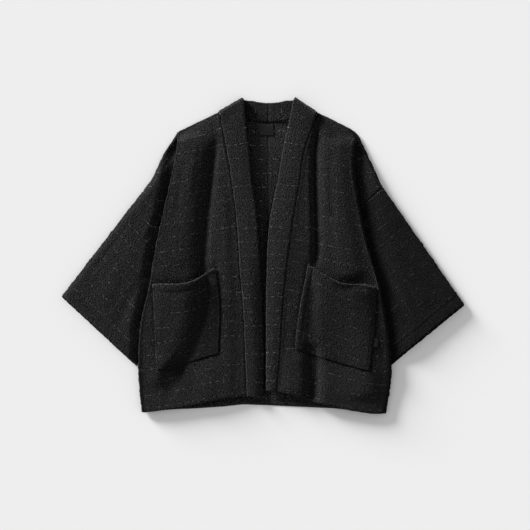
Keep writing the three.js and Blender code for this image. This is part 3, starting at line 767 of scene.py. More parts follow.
def sleeve_surface(name, front, step):
    """Middle surface of one sleeve: a flattened tube from the shoulder seam to the cuff."""
    side = SIDES[name]
    outward = side["outward"]
    chosen = front["fold_y"] > UNDERARM_Y
    head = front["grid"][chosen, -1, :2]
    gap = np.where(front["on_seam"][chosen], SEAM_GAP, HIDDEN_SEAM_GAP)
    window = 2 * GAP_BLEND + 1
    gap = np.convolve(np.pad(gap, GAP_BLEND, mode="edge"), np.ones(window) / window, mode="valid")
    lengths = travelled(head)
    share = (lengths / lengths[-1])[:, None]
    to = mix(np.array(side["cuff_tip"], float), np.array(side["cuff_inner"], float), share)
    heading = unit(to - head)
    seam = unit(np.gradient(head, axis=0))
    start = head + np.stack([-seam[:, 1] * gap * outward, seam[:, 0] * gap * outward], axis=-1)
    count = round(np.linalg.norm(to - head, axis=1).max() / step)
    along = (np.arange(count + 1) / count)[:, None, None]
    upper = mix(start, to, along)
    lower = mix(start, to + heading * LOWER_CUFF_SHOWS, along)
    from_top = np.linalg.norm(upper - upper[:, :1], axis=-1)
    from_under = np.linalg.norm(upper - upper[:, -1:], axis=-1)
    low = sleeve_lower(side, lower[..., 0], lower[..., 1])
    high = sleeve_top(side, upper[..., 0], upper[..., 1])
    high = high + creased("sleeve_" + name, upper[..., 0], upper[..., 1])
    to_cuff = np.linalg.norm(upper - to[None], axis=-1)
    high = high - STITCH_GROOVE * bell(to_cuff - CUFF_STITCH_IN, CUFF_GROOVE_WIDTH)
    round_top = rounded(from_top / SLEEVE_EDGE_ROUND)
    round_under = rounded(from_under / (high - low + SLEEVE_UNDER_ROUND))
    full = mix(SLEEVE_EDGE_SHARE, 1, np.minimum(round_top, round_under))
    upper = np.concatenate([upper, (low + (high - low) * full)[..., None]], axis=-1)
    lower = np.concatenate([lower, low[..., None]], axis=-1)
    return np.concatenate([upper, lower[:, -2:0:-1]], axis=1)


def band_surface(name, front, step):
    """Middle surface of half the band: the back neck, the crease and the front."""
    side = SIDES[name]
    outward = side["outward"]
    t = np.linspace(0, 1, BAND_STEPS + 1)[None, :]

    def strip(edge, seam, edge_z, seam_z, crown):
        plan = mix(edge[:, None, :], seam[:, None, :], t[..., None])
        z = mix(np.reshape(edge_z, (-1, 1)), np.reshape(seam_z, (-1, 1)), t)
        z = z + crown * np.sin(np.pi * t)
        return np.concatenate([plan, z[..., None]], axis=-1)

    places = np.arange(3 * BAND_BACK_STEPS + 1) / BAND_BACK_STEPS
    edge, seam = (
        np.stack([np.interp(places, np.arange(4), [p[axis] for p in side[key]]) for axis in (0, 1)],
                 axis=-1)
        for key in ("band_back_edge", "band_back_seam")
    )
    centre = outward * SEAM_CLOSE * clamp01(1 - places)
    edge[:, 0] -= centre
    seam[:, 0] -= centre
    seam[:, 1] -= SEAM_CLOSE
    low = np.full(len(places), BAND_LOW)
    back = strip(edge, seam, low, low, 0)

    crease_edge = np.array(side["lines"]["edge"][0], float)
    crease_seam = np.array(side["lines"]["seam"][0], float)
    upright = unit(crease_seam - crease_edge)
    away = np.array([-upright[1], upright[0]]) * outward
    radius = (BAND_EDGE_HEIGHT - BAND_LOW) / 2
    angle = np.pi * (np.arange(CREASE_STEPS + 1) / CREASE_STEPS - 0.5)
    reach = (radius * (np.cos(angle) - 1))[:, None] * away
    z = BAND_LOW + radius * (1 + np.sin(angle))
    turned = strip(crease_edge + reach, crease_seam + reach, z, z, 0)
    back_end = back[-1]
    before, after = (np.arange(1, count)[:, None, None] / count for count in JOIN_STEPS)
    to_crease = mix(back_end[None], turned[:1], before)

    used = front["rows"] >= BAND_FIRST_ROW
    rows = front["rows"][used]
    lines = side["lines"]
    edge = np.stack([through([p[axis] for p in lines["edge"]], rows) for axis in (0, 1)], axis=-1)
    seam = np.stack([through([p[axis] for p in lines["seam"]], rows) for axis in (0, 1)], axis=-1)
    front_z = front["grid"][used, 0, 2]
    crown = BAND_CROWN + sunk(BAND_ROLLS[name], edge[:, 1:])
    edge_z = BAND_EDGE_HEIGHT - sunk(BAND_SINKS[name], edge[:, 1])
    down = strip(edge, seam, edge_z, front_z, crown)
    from_crease = mix(turned[-1:], down[:1], after)
    return np.concatenate([back, to_crease, turned, from_crease, down])


def pocket_surface(name, front):
    """Middle surface of a pocket: points of its front, moved out and gaping on top."""
    grid = front["grid"]
    normal = grid_normals(grid)
    normal = normal * np.sign(normal[..., 2:3])
    rows, cols = (
        np.flatnonzero((front[key] >= first) & (front[key] <= last))
        for key, (first, last) in (("rows", POCKET_ROWS), ("across", POCKET_LINES))
    )
    block = np.ix_(rows, cols)
    down = np.linspace(0, 1, len(rows))[:, None]
    across = np.linspace(0, 1, len(cols))[None, :]
    gape = POCKET_GAPE * np.sin(np.pi * across) * (1 - down) ** 2
    lift = (CLOTH + POCKET_CLOTH) / 2 + POCKET_CLEAR + gape
    side = SIDES[name]
    x, y = grid[block][..., 0], grid[block][..., 1]
    border, mouth = pocket_border(side)
    foot = beside(border, x, y)[0]
    from_mouth = beside(mouth, x, y)[0]
    sewn = np.where(across < 0.5, STITCH_IN[name][0], STITCH_IN[name][1])
    shape = mouth_dip(name, x, y)
    shape = shape + SEWN_GROOVE * POCKET_BORDER_SHARE * bell(foot, SEWN_WIDTH)
    shape = shape - STITCH_GROOVE * bell(foot - sewn, STITCH_WIDTH)
    shape = shape + STITCH_RIDGE * bell(foot - sewn + STITCH_RIDGE_OUT, STITCH_RIDGE_WIDTH)
    shape = shape - MOUTH_ROLL * clamp01(1 - from_mouth / MOUTH_ROLL_WIDTH) ** 2
    shape = shape + MOUTH_RIDGE * bell(from_mouth - MOUTH_ROLL_WIDTH, MOUTH_RIDGE_WIDTH)
    return grid[block] + normal[block] * (lift + shape)[..., None]


def grid_normals(grid, ring=False):
    """Unit normals of a grid of points, from the neighbours of each."""
    if ring:
        across = np.roll(grid, -1, axis=1) - np.roll(grid, 1, axis=1)
    else:
        across = np.gradient(grid, axis=1)
    return unit(np.cross(across, np.gradient(grid, axis=0)))


# Meshes

def piece_from(name, points, faces, corner_uv, material):
    """A piece of the jacket from points in millimetres on the plan, with its cloth map."""
    a, b, c = (points[faces[:, k]] for k in (0, 1, 2))
    volume = np.einsum("ij,ij->i", a, np.cross(b, c)).sum()
    if faces.shape[1] == 4:
        d = points[faces[:, 3]]
        volume += np.einsum("ij,ij->i", a, np.cross(c, d)).sum()
    if volume < 0:
        faces = faces[:, ::-1]
        corner_uv = corner_uv[:, ::-1]
    mesh = bpy.data.meshes.new(name + "_cloth")
    mesh.from_pydata(((points + SHIFT) * MM).tolist(), [], faces.tolist())
    layer = mesh.uv_layers.new(name="Cloth")
    layer.data.foreach_set("uv", np.ascontiguousarray(corner_uv, dtype=np.float32).ravel())
    mesh.polygons.foreach_set("use_smooth", np.ones(len(faces), dtype=bool))
    mesh.materials.append(material)
    mesh.update()
    piece = bpy.data.objects.new(name + "_cloth", mesh)
    bpy.context.scene.collection.objects.link(piece)
    return piece


def wall_piece(name, grid, thickness, cloth_uv, material, seed, ring=False, crumbs=1.0,
               pressed=None):
    """A closed wall of wool round a grid of middle points, crumbly on both faces.

    Painted shade tells for each point how far the wool's colour is darkened, as painted shade on
    the rims of folds that the low lamp lights.
    """
    rows, cols = grid.shape[:2]
    normal = grid_normals(grid, ring)
    half = np.full((rows, cols), thickness / 2)
    half[[0, -1], :] *= EDGE_TAPER
    if not ring:
        half[:, [0, -1]] *= EDGE_TAPER
    sizes = bpy.context.scene.jacket_wool
    coarse, fine = sizes.nub_size / MM, sizes.nub_size / MM * FINE_NUB[0]
    height = sizes.nub_height / MM * crumbs
    rim = np.zeros((rows, cols))
    rim[[0, -1], :] = 1
    if not ring:
        rim[:, [0, -1]] = 1
    ragged = np.stack([crumb(grid, RIM_CRUMB_SIZE, seed + k) for k in (2, 3)], axis=-1)
    grid = grid.copy()
    grid[..., :2] += ragged * (rim * RIM_CRUMB * min(crumbs, 1.0))[..., None]
    faces_of_wall = []
    for sign in (1, -1):
        face = grid + normal * (half * sign)[..., None]
        lump = crumb(face, coarse, seed) + FINE_NUB[1] * crumb(face, fine, seed + 1)
        upright = 1 + EDGE_FUZZ * (1 - np.abs(normal[..., 2])) * min(crumbs, 1.0)
        faces_of_wall.append(face + normal * (lump * height * upright * sign)[..., None])
    points = np.concatenate([f.reshape(-1, 3) for f in faces_of_wall])
    count = rows * cols
    wide = cols if ring else cols - 1
    i, j = np.meshgrid(np.arange(rows - 1), np.arange(wide), indexing="ij")

    def at(row, col, layer):
        return layer * count + row * cols + col % cols

    quads = []
    maps = []

    def add(corners):
        """Quads from corners given as rows, columns and face of the wall."""
        quads.append(np.stack([at(r, c, k) for r, c, k in corners], axis=-1).reshape(-1, 4))
        maps.append(np.stack([cloth_uv[r, c] for r, c, k in corners], axis=-2).reshape(-1, 4, 2))

    add([(i, j, 0), (i, j + 1, 0), (i + 1, j + 1, 0), (i + 1, j, 0)])
    add([(i, j, 1), (i + 1, j, 1), (i + 1, j + 1, 1), (i, j + 1, 1)])
    j = np.arange(wide)
    first, last = np.zeros_like(j), np.full_like(j, rows - 1)
    add([(first, j, 0), (first, j, 1), (first, j + 1, 1), (first, j + 1, 0)])
    add([(last, j + 1, 0), (last, j + 1, 1), (last, j, 1), (last, j, 0)])
    if not ring:
        i = np.arange(rows - 1)
        first, last = np.zeros_like(i), np.full_like(i, cols - 1)
        add([(i + 1, first, 0), (i + 1, first, 1), (i, first, 1), (i, first, 0)])
        add([(i, last, 0), (i, last, 1), (i + 1, last, 1), (i + 1, last, 0)])
    piece = piece_from(name, points, np.concatenate(quads), np.concatenate(maps), material)
    if pressed is not None:
        marks = piece.data.attributes.new("PaintedShade", "FLOAT", "POINT")
        marks.data.foreach_set("value", np.tile(pressed.ravel(), 2).astype(np.float32))
    return piece


def outline_painted_shade(name, grid):
    """Painted shade along the outer fold of shoulder and sleeve, from 0 to 1, darkening the rim
    that the low lamp lights.
    """
    side = SIDES[name]
    away = beside([*side["shoulder"], side["cuff_tip"]], grid[..., 0], grid[..., 1])[0]
    return bell(away, PAINTED_SHADE_REACH)


def body_uv(grid, outward=1, flat_from=None):
    """Cloth map in metres whose weft follows the rows, and whose warp follows their starts.

    From column flat_from on, the piece lies level and its map is its plan.
    """
    step = np.diff(grid, axis=1)
    u = grid[:, :1, 0] + outward * running(np.hypot(step[..., 0], step[..., 2]))
    down = travelled(grid[:, : grid.shape[1] // 2].mean(axis=1))
    v = np.repeat(-down[:, None], grid.shape[1], axis=1)
    if flat_from is not None:
        u[:, flat_from:] = grid[:, flat_from:, 0]
        v[:, flat_from:] = grid[:, flat_from:, 1]
    return np.stack([u, v], axis=-1) * MM


def strip_uv(grid):
    """Cloth map in metres of a strip: across it, and along its middle."""
    across = running(np.linalg.norm(np.diff(grid, axis=1), axis=-1))
    down = travelled(grid[:, grid.shape[1] // 2])
    return np.stack([across, np.repeat(down[:, None], grid.shape[1], axis=1)], axis=-1) * MM


def tube_uv(grid):
    """Cloth map in metres of a tube: round it by length, and along it from its open end."""
    closed = np.concatenate([grid, grid[:, :1]], axis=1)
    around = running(np.linalg.norm(np.diff(closed, axis=1), axis=-1))
    along = np.linalg.norm(np.diff(closed, axis=0), axis=-1)[::-1].cumsum(axis=0)[::-1]
    along = np.concatenate([along, np.zeros((1, closed.shape[1]))])
    return np.stack([around, along], axis=-1) * MM


# Finishes

class Term:
    """A shader socket that can be used in sums."""

    def __init__(self, shading, socket):
        self.shading = shading
        self.socket = socket

    def _with(self, operation, *terms):
        return self.shading.node("ShaderNodeMath", {"operation": operation}, dict(enumerate(terms)))

    def __add__(self, other):
        return self._with("ADD", self, other)

    __radd__ = __add__

    def __sub__(self, other):
        return self._with("SUBTRACT", self, other)

    def __rsub__(self, other):
        return self._with("SUBTRACT", other, self)

    def __mul__(self, other):
        return self._with("MULTIPLY", self, other)

    __rmul__ = __mul__

    def cosine(self):
        return self._with("COSINE", self)

    def twin(self, output):
        """Another output of the node that this socket belongs to."""
        return Term(self.shading, self.socket.node.outputs[output])

    def ramp(self, low, high):
        """0 below low, 1 above high and smooth between."""
        return self.shading.node(
            "ShaderNodeMapRange", {"interpolation_type": "SMOOTHSTEP"},
            {"Value": self, "From Min": low, "From Max": high},
        )


class Nodes:
    """A tree of nodes that is built from here."""

    def __init__(self, tree):
        self.tree = tree

    def node(self, kind, settings, inputs, output=0):
        """Adds a node, sets it up, then gives its sockets their values or links."""
        node = self.tree.nodes.new(kind)
        for name, value in settings.items():
            setattr(node, name, value)
        for name, value in inputs.items():
            self.put(node.inputs[name], value)
        return None if output is None else Term(self, node.outputs[output])

    def put(self, socket, value):
        if isinstance(value, Term):
            self.tree.links.new(value.socket, socket)
        else:
            socket.default_value = value


class Shading(Nodes):
    """The nodes of one finish."""

    def __init__(self, name):
        self.material = bpy.data.materials.new(name)
        self.material.use_nodes = True
        super().__init__(self.material.node_tree)
        self.tree.nodes.clear()
        surface = self.node("ShaderNodeBsdfPrincipled", {}, {}, "BSDF")
        self.shader = surface.socket.node
        self.node("ShaderNodeOutputMaterial", {}, {"Surface": surface}, None)

    def set(self, **sockets):
        for name, value in sockets.items():
            self.put(self.shader.inputs[name.replace("_", " ")], value)

    def blend(self, factor, first, second):
        """One colour over another by a factor."""
        inputs = {0: factor, 6: first, 7: second}
        return self.node("ShaderNodeMix", {"data_type": "RGBA"}, inputs, 2)

    def noise(self, vector, scale, detail, roughness=0.5, space="2D", output="Fac"):
        return self.node(
            "ShaderNodeTexNoise", {"noise_dimensions": space},
            {"Vector": vector, "Scale": scale, "Detail": detail, "Roughness": roughness}, output,
        )

    def cells(self, vector, pitch, feature, inputs):
        """Distance to the middles of random cells that are a pitch apart."""
        return self.node(
            "ShaderNodeTexVoronoi", {"voronoi_dimensions": "2D", "feature": feature},
            {"Vector": vector, "Scale": 1.0 / pitch, **inputs}, "Distance",
        )

    def bump(self, height, strength, distance):
        return self.node(
            "ShaderNodeBump", {},
            {"Height": height, "Strength": strength, "Distance": distance}, "Normal",
        )

    def dashes(self, across, down, cuts):
        """Noise that is cut to a different fineness across and down the cloth."""
        place = {"X": across * cuts[0], "Y": down * cuts[1]}
        return self.noise(self.node("ShaderNodeCombineXYZ", {}, place), 1.0, 1.0)


def opaque(colour, share=1.0):
    """A share of a colour, with nothing showing through."""
    return (*(c * share for c in colour), 1.0)


def wool_finish(name):
    """Boucle wool: crumbly loops, pale slub flecks and faint dashed lines of heavier yarn, with
    painted light and shade.
    """
    tints = bpy.context.scene.jacket_tints
    sizes = bpy.context.scene.jacket_wool
    # The piece's share of the wool's colours, painted light and shade for where it lies
    painted_light = WOOL_PAINTED_LIGHT[name]
    shading = Shading(name)
    cloth = shading.node("ShaderNodeUVMap", {"uv_map": "Cloth"}, {})
    sway = shading.noise(cloth, NOISE_SCALES["sway"], 2.0, 0.6, output="Color")
    shaken = shading.node(
        "ShaderNodeVectorMath", {"operation": "MULTIPLY_ADD"},
        {0: sway, 1: (SWAY_REACH, SWAY_REACH, 0.0), 2: cloth},
    )
    loops = shading.cells(shaken, sizes.loop_size, "SMOOTH_F1", {"Smoothness": 0.35})
    fibres = shading.noise(cloth, NOISE_SCALES["fibres"], 2.0, 0.75)
    patches = shading.noise(cloth, NOISE_SCALES["patches"], 3.0, 0.65)
    crown = 1 - loops.ramp(0.05, 0.75)
    relief = crown * 0.7 + fibres * 0.9

    across = shading.node("ShaderNodeSeparateXYZ", {}, {"Vector": shaken}, "X")
    down = across.twin("Y")
    turns = 2 * math.pi / sizes.weft_pitch
    weft = (down * turns).cosine().ramp(0.972, 0.998)
    warp = (across * (turns / WARP_PITCH_SHARE)).cosine().ramp(0.978, 0.998)
    weft_dashes = shading.dashes(across, down, WEFT_DASHES).ramp(0.47, 0.62)
    warp_dashes = shading.dashes(across, down, WARP_DASHES).ramp(0.52, 0.68)
    lines = weft * weft_dashes * 0.9 + warp * warp_dashes * 0.5

    slub = shading.cells(shaken, sizes.slub_pitch, "F1", {"Randomness": 1.0})
    luck = shading.node("ShaderNodeSeparateColor", {}, {"Color": slub.twin("Color")}, "Red")
    flecks = (1 - slub.ramp(0.05, 0.24)) * luck.ramp(0.62, 1.0) * crown

    # Painted shade on lit rims: this attribute takes away the light loops and darkens the colour
    # there
    pressed = shading.node("ShaderNodeAttribute", {"attribute_name": "PaintedShade"}, {}, "Fac")
    # The loops' crowns take the light colour and the hollows between them the deep one, which is
    # painted shade in the hollows; the fibres and patches add random tone
    lit = (crown * 0.8 + fibres * 0.9 + patches * 0.3 - 0.6).ramp(0.0, 1.0) * (1 - pressed)
    ground = shading.blend(lit, opaque(tints.wool_deep, painted_light), opaque(tints.wool_light, painted_light))
    lined = shading.blend(lines * crown, ground, opaque(tints.slub, painted_light))
    flecked = shading.blend(flecks, lined, opaque(tints.fleck, painted_light))
    # The colour of the painted shade on the rims
    edge = opaque(tints.wool_deep, PAINTED_SHADE_KEEP)
    shading.set(
        Base_Color=shading.blend(pressed * PAINTED_SHADE_DARK, flecked, edge),
        Roughness=0.96 - flecks * 0.2,
        Normal=shading.bump(relief + lines * 0.35 + flecks * 0.4, 1.0, sizes.loop_height),
        Sheen_Weight=0.12, Sheen_Roughness=0.55, Specular_IOR_Level=0.18,
        Sheen_Tint=opaque((0.8, 0.8, 0.8)),
    )
    return shading.material


def satin_finish(name):
    """Plain black satin ribbon with its fine ribs, for the neck label and the tag."""
    tints = bpy.context.scene.jacket_tints
    shading = Shading(name)
    cloth = shading.node("ShaderNodeUVMap", {"uv_map": "Cloth"}, {})
    place = shading.node("ShaderNodeSeparateXYZ", {}, {"Vector": cloth}, "Y")
    ribs = (place * (2 * math.pi / SATIN_RIB)).cosine() * 0.5 + 0.5
    wear = shading.noise(cloth, NOISE_SCALES["satin"], 3.0)
    colour = shading.blend(wear.ramp(0.35, 0.7), opaque(tints.satin), opaque(tints.satin, 1.7))
    shading.set(
        Base_Color=colour, Normal=shading.bump(ribs, 0.5, SATIN_RELIEF),
        Roughness=0.5 + wear * 0.2, Specular_IOR_Level=0.12,
    )
    return shading.material


def thread_finish(name):
    """Black sewing thread with its twist."""
    tints = bpy.context.scene.jacket_tints
    shading = Shading(name)
    place = shading.node("ShaderNodeTexCoord", {}, {}, "Object")
    twist = shading.noise(place, NOISE_SCALES["twist"], 2.0, space="3D")
    colour = shading.blend(twist.ramp(0.35, 0.65), opaque(tints.thread), opaque(tints.thread, 2.0))
    shading.set(Base_Color=colour, Roughness=0.6 + twist * 0.2)
    return shading.material


def finish_named(name):
    """A finish of the jacket, made when it is first asked for."""
    makers = {"label_satin": satin_finish, "thread": thread_finish}
    return bpy.data.materials.get(name) or makers.get(name, wool_finish)(name)


# Placing the pieces, and laying their stitches


def settle(piece, node):
    """Ties a finished piece to its body and hides its solid."""
    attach(piece, "root")
    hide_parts(node)


def outer_face(grid, thickness, ring=False):
    """The upper face of a wall round a grid of middle points."""
    normal = grid_normals(grid, ring)
    facing = np.sign(np.median(normal[..., 2]))
    return grid + normal * facing * thickness / 2


def inset_line(grid, edge, inset, trim=0.0):
    """Points that run beside one edge of a grid, a set distance in, and stop short of its ends."""
    if edge in ("top", "foot"):
        grid = grid.transpose(1, 0, 2)
    if edge in ("last", "foot"):
        grid = grid[:, ::-1]
    lengths = running(np.linalg.norm(np.diff(grid, axis=1), axis=-1))
    places = np.array([np.interp(inset, row, np.arange(len(row))) for row in lengths])
    low = np.minimum(places.astype(int), grid.shape[1] - 2)
    index = np.arange(len(grid))
    line = mix(grid[index, low], grid[index, low + 1], (places - low)[:, None])
    along = travelled(line)
    return line[(along >= trim) & (along <= along[-1] - trim)]


def stitch_tree():
    """Node group that lays stitches end to end along the edges of a mesh."""
    tree = bpy.data.node_groups.new("stitch_rows", "GeometryNodeTree")
    sockets = (
        ("Lines", "NodeSocketGeometry"), ("Stitch Length", "NodeSocketFloat"),
        ("Thread Width", "NodeSocketFloat"), ("Seed", "NodeSocketInt"),
        ("Thread", "NodeSocketMaterial"),
    )
    for name, kind in sockets:
        tree.interface.new_socket(name, in_out="INPUT", socket_type=kind)
    tree.interface.new_socket("Stitches", in_out="OUTPUT", socket_type="NodeSocketGeometry")
    nodes = Nodes(tree)
    lines = nodes.node("NodeGroupInput", {}, {}, "Lines")
    given = {name: lines.twin(name) for name, _ in sockets}
    curve = nodes.node("GeometryNodeMeshToCurve", {}, {"Mesh": given["Lines"]}, "Curve")
    points = nodes.node(
        "GeometryNodeResampleCurve", {"mode": "LENGTH"},
        {"Curve": curve, "Length": given["Stitch Length"]}, "Curve",
    )
    tangent = nodes.node("GeometryNodeInputTangent", {}, {}, "Tangent")
    straight = nodes.node(
        "FunctionNodeAlignRotationToVector", {"axis": "Z"}, {"Vector": tangent}, "Rotation",
    )
    slant = nodes.node(
        "FunctionNodeRandomValue", {"data_type": "FLOAT_VECTOR"},
        {0: [-turn for turn in STITCH_TURNS], 1: STITCH_TURNS, "Seed": given["Seed"]}, "Value",
    )
    turn = nodes.node("FunctionNodeEulerToRotation", {}, {"Euler": slant}, "Rotation")
    turned = nodes.node(
        "FunctionNodeRotateRotation", {"rotation_space": "LOCAL"},
        {"Rotation": straight, "Rotate By": turn}, "Rotation",
    )
    ball = nodes.node(
        "GeometryNodeMeshUVSphere", {}, {"Segments": 6, "Rings": 5, "Radius": 0.5}, "Mesh",
    )
    stitch = nodes.node("GeometryNodeSetShadeSmooth", {}, {"Geometry": ball}, "Geometry")
    width = given["Thread Width"]
    size = nodes.node(
        "ShaderNodeCombineXYZ", {},
        {"X": width, "Y": width, "Z": given["Stitch Length"] * STITCH_SHARE},
    )
    laid = nodes.node(
        "GeometryNodeInstanceOnPoints", {},
        {"Points": points, "Instance": stitch, "Rotation": turned, "Scale": size}, "Instances",
    )
    real = nodes.node("GeometryNodeRealizeInstances", {}, {"Geometry": laid}, "Geometry")
    finished = nodes.node(
        "GeometryNodeSetMaterial", {}, {"Geometry": real, "Material": given["Thread"]}, "Geometry",
    )
    nodes.node("NodeGroupOutput", {}, {"Stitches": finished}, None)
    return tree


def stitch_rows(name, lines, tree):
    """Lays stitches along lines of points, in millimetres on the plan, as one plain mesh."""
    sizes = bpy.context.scene.jacket_wool
    mesh = bpy.data.meshes.new(name)
    points = []
    edges = []
    for line in lines:
        first = len(points)
        points += ((np.asarray(line, float) + SHIFT) * MM).tolist()
        edges += [(k, k + 1) for k in range(first, len(points) - 1)]
    mesh.from_pydata(points, edges, [])
    rows = bpy.data.objects.new(name, mesh)
    bpy.context.scene.collection.objects.link(rows)
    values = {
        "Stitch Length": sizes.stitch_length, "Thread Width": sizes.thread_width,
        "Seed": sizes.seed, "Thread": finish_named("thread"),
    }
    modifier = rows.modifiers.new("Stitches", "NODES")
    modifier.node_group = tree
    for socket in tree.interface.items_tree:
        if socket.name in values:
            modifier[socket.identifier] = values[socket.name]
    made = rows.evaluated_get(bpy.context.evaluated_depsgraph_get())
    rows_mesh = bpy.data.meshes.new_from_object(made)
    rows.modifiers.clear()
    rows.data = rows_mesh
    rows_mesh.name = name
    bpy.data.meshes.remove(mesh)
    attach(rows, "root")


def mesh_step():
    """The distance between rows that the scene is set to."""
    return bpy.context.scene.jacket_wool.row_step / MM


def front_of(name):
    """The middle surface of one front at the step that the scene is set to."""
    return front_surface(name, mesh_step())


def wool_piece(kind, name, grid, thickness, uv, **options):
    """One wool piece, with the finish and the random numbers of its kind and side."""
    seed = bpy.context.scene.jacket_wool.seed + SEED_STARTS[kind] + list(SIDES).index(name)
    whole = f"{kind}_{name}"
    return wall_piece(whole, grid, thickness, uv, finish_named("boucle_" + whole), seed, **options)


# Sizes and colours that a user would change

def measure(label, about, default, **limits):
    return FloatProperty(name=label, description=about, default=default, unit="LENGTH", **limits)


def angle(label, about, degrees):
    default = math.radians(degrees)
    return FloatProperty(name=label, description=about, default=default, subtype="ANGLE")


def tint(label, about, grey):
    default = (grey, grey, grey)
    return FloatVectorProperty(name=label, description=about, default=default, subtype="COLOR")


class JacketWool(bpy.types.PropertyGroup):
    """Sizes of the wool and its sewing"""

    row_step: measure("Row Step", "Distance between rows of a panel's mesh", 0.0025, min=0.001)
    nub_size: measure("Nub Size", "Width of the lumps of the wool", 0.0055)
    nub_height: measure("Nub Height", "Height of the lumps of the wool", 0.00024)
    loop_size: measure("Loop Size", "Width of one loop of yarn", 0.0031)
    loop_height: measure("Loop Height", "Height of one loop of yarn", 0.0017)
    weft_pitch: measure("Weft Pitch", "Distance between the heavier lines of weft", 0.0315)
    slub_pitch: measure("Slub Pitch", "Mean distance between pale slubs", 0.009)
    stitch_length: measure("Stitch Length", "Length of one stitch", 0.0032)
    thread_width: measure("Thread Width", "Width of the sewing thread", 0.0006)
    seed: IntProperty(
        name="Seed", description="Number that the crumb of the wool grows from", default=7,
    )


class JacketTints(bpy.types.PropertyGroup):
    """Colours of the wool, the satin and the thread"""

    # The loops' crowns spread deep and light in the wool finish, which paints shade into the
    # hollows between the loops
    wool_deep: tint("Wool Deep", "Colour between the loops", 0.0075)
    wool_light: tint("Wool Light", "Colour of the loops", 0.03)
    slub: tint("Slub", "Colour of the heavier yarn", 0.12)
    fleck: tint("Fleck", "Colour of the pale flecks", 0.075)
    satin: tint("Satin", "Colour of the label and the tag", 0.018)
    thread: tint("Thread", "Colour of the sewing thread", 0.008)


class JacketStage(bpy.types.PropertyGroup):
    """The floor and the light"""

    floor_tint: tint("Floor", "Colour of the floor", 0.8)
    lamp: FloatProperty(name="Lamp", description="Strength of the side light", default=7.26)
    lamp_height: angle("Lamp Height", "Angle of the side light over the floor", 12.5)
    lamp_turn: angle("Lamp Turn", "Direction of the side light on the plan", 138)
    lamp_spread: angle("Lamp Spread", "Width of the side light as seen from the jacket", 18)
    sky: FloatProperty(name="Sky", description="Strength of the even light", default=0.565)
    black_level: FloatProperty(
        name="Black Level", description="Light that the picture shows as black", default=0.014,
    )


# Operators

class JACKET_OT_stage(bpy.types.Operator):
    """Lay the floor, set the lights and place the camera"""

    bl_idname = "jacket.stage"
    bl_label = "Stage"

    def execute(self, context):
        scene = context.scene
        stage = scene.jacket_stage
        shading = Shading("floor_paper")
        place = shading.node("ShaderNodeTexCoord", {}, {}, "Object")
        grain = shading.noise(place, NOISE_SCALES["paper"], 2.0, space="3D")
        paper = shading.blend(grain, opaque(stage.floor_tint), opaque(stage.floor_tint, 1.01))
        shading.set(Base_Color=paper, Roughness=0.9, Specular_IOR_Level=0.0)
        corners = [(x * FLOOR_REACH, y * FLOOR_REACH, 0) for x, y in FLOOR_CORNERS]
        mesh = bpy.data.meshes.new("floor")
        mesh.from_pydata(corners, [], [(0, 1, 2, 3)])
        mesh.materials.append(shading.material)
        floor = bpy.data.objects.new("floor", mesh)
        scene.collection.objects.link(floor)

        lamp = bpy.data.lights.new("side_light", "SUN")
        lamp.energy = stage.lamp
        lamp.angle = stage.lamp_spread
        lamp_object = bpy.data.objects.new("side_light", lamp)
        level = math.cos(stage.lamp_height)
        toward = Vector((
            level * math.cos(stage.lamp_turn), level * math.sin(stage.lamp_turn),
            math.sin(stage.lamp_height),
        ))
        lamp_object.rotation_euler = toward.to_track_quat("Z", "Y").to_euler()
        lamp_object.location = toward * LAMP_AWAY
        scene.collection.objects.link(lamp_object)

        world = bpy.data.worlds.new("even_light")
        world.use_nodes = True
        background = world.node_tree.nodes["Background"]
        background.inputs["Color"].default_value = (1, 1, 1, 1)
        background.inputs["Strength"].default_value = stage.sky
        scene.world = world
        view = scene.view_settings
        view.view_transform = "Standard"
        view.use_curve_mapping = True
        curve = view.curve_mapping.curves[3]
        for light in TOE_LIGHTS:
            seen = light - stage.black_level * (1 - math.exp(-light / stage.black_level))
            curve.points.new(light, seen)
        for point in curve.points:
            point.handle_type = "VECTOR"
        view.curve_mapping.update()

        camera = bpy.data.cameras.new("camera")
        camera.lens = CAMERA_LENS
        camera.sensor_width = CAMERA_SENSOR
        camera_object = bpy.data.objects.new("camera", camera)
        centre = (np.array(PHOTO_CENTRE) + SHIFT) * MM
        away = PHOTO_SPAN * MM * CAMERA_LENS / CAMERA_SENSOR
        camera_object.location = (centre[0], centre[1], centre[2] + away)
        scene.collection.objects.link(camera_object)
        scene.camera = camera_object
        return {"FINISHED"}


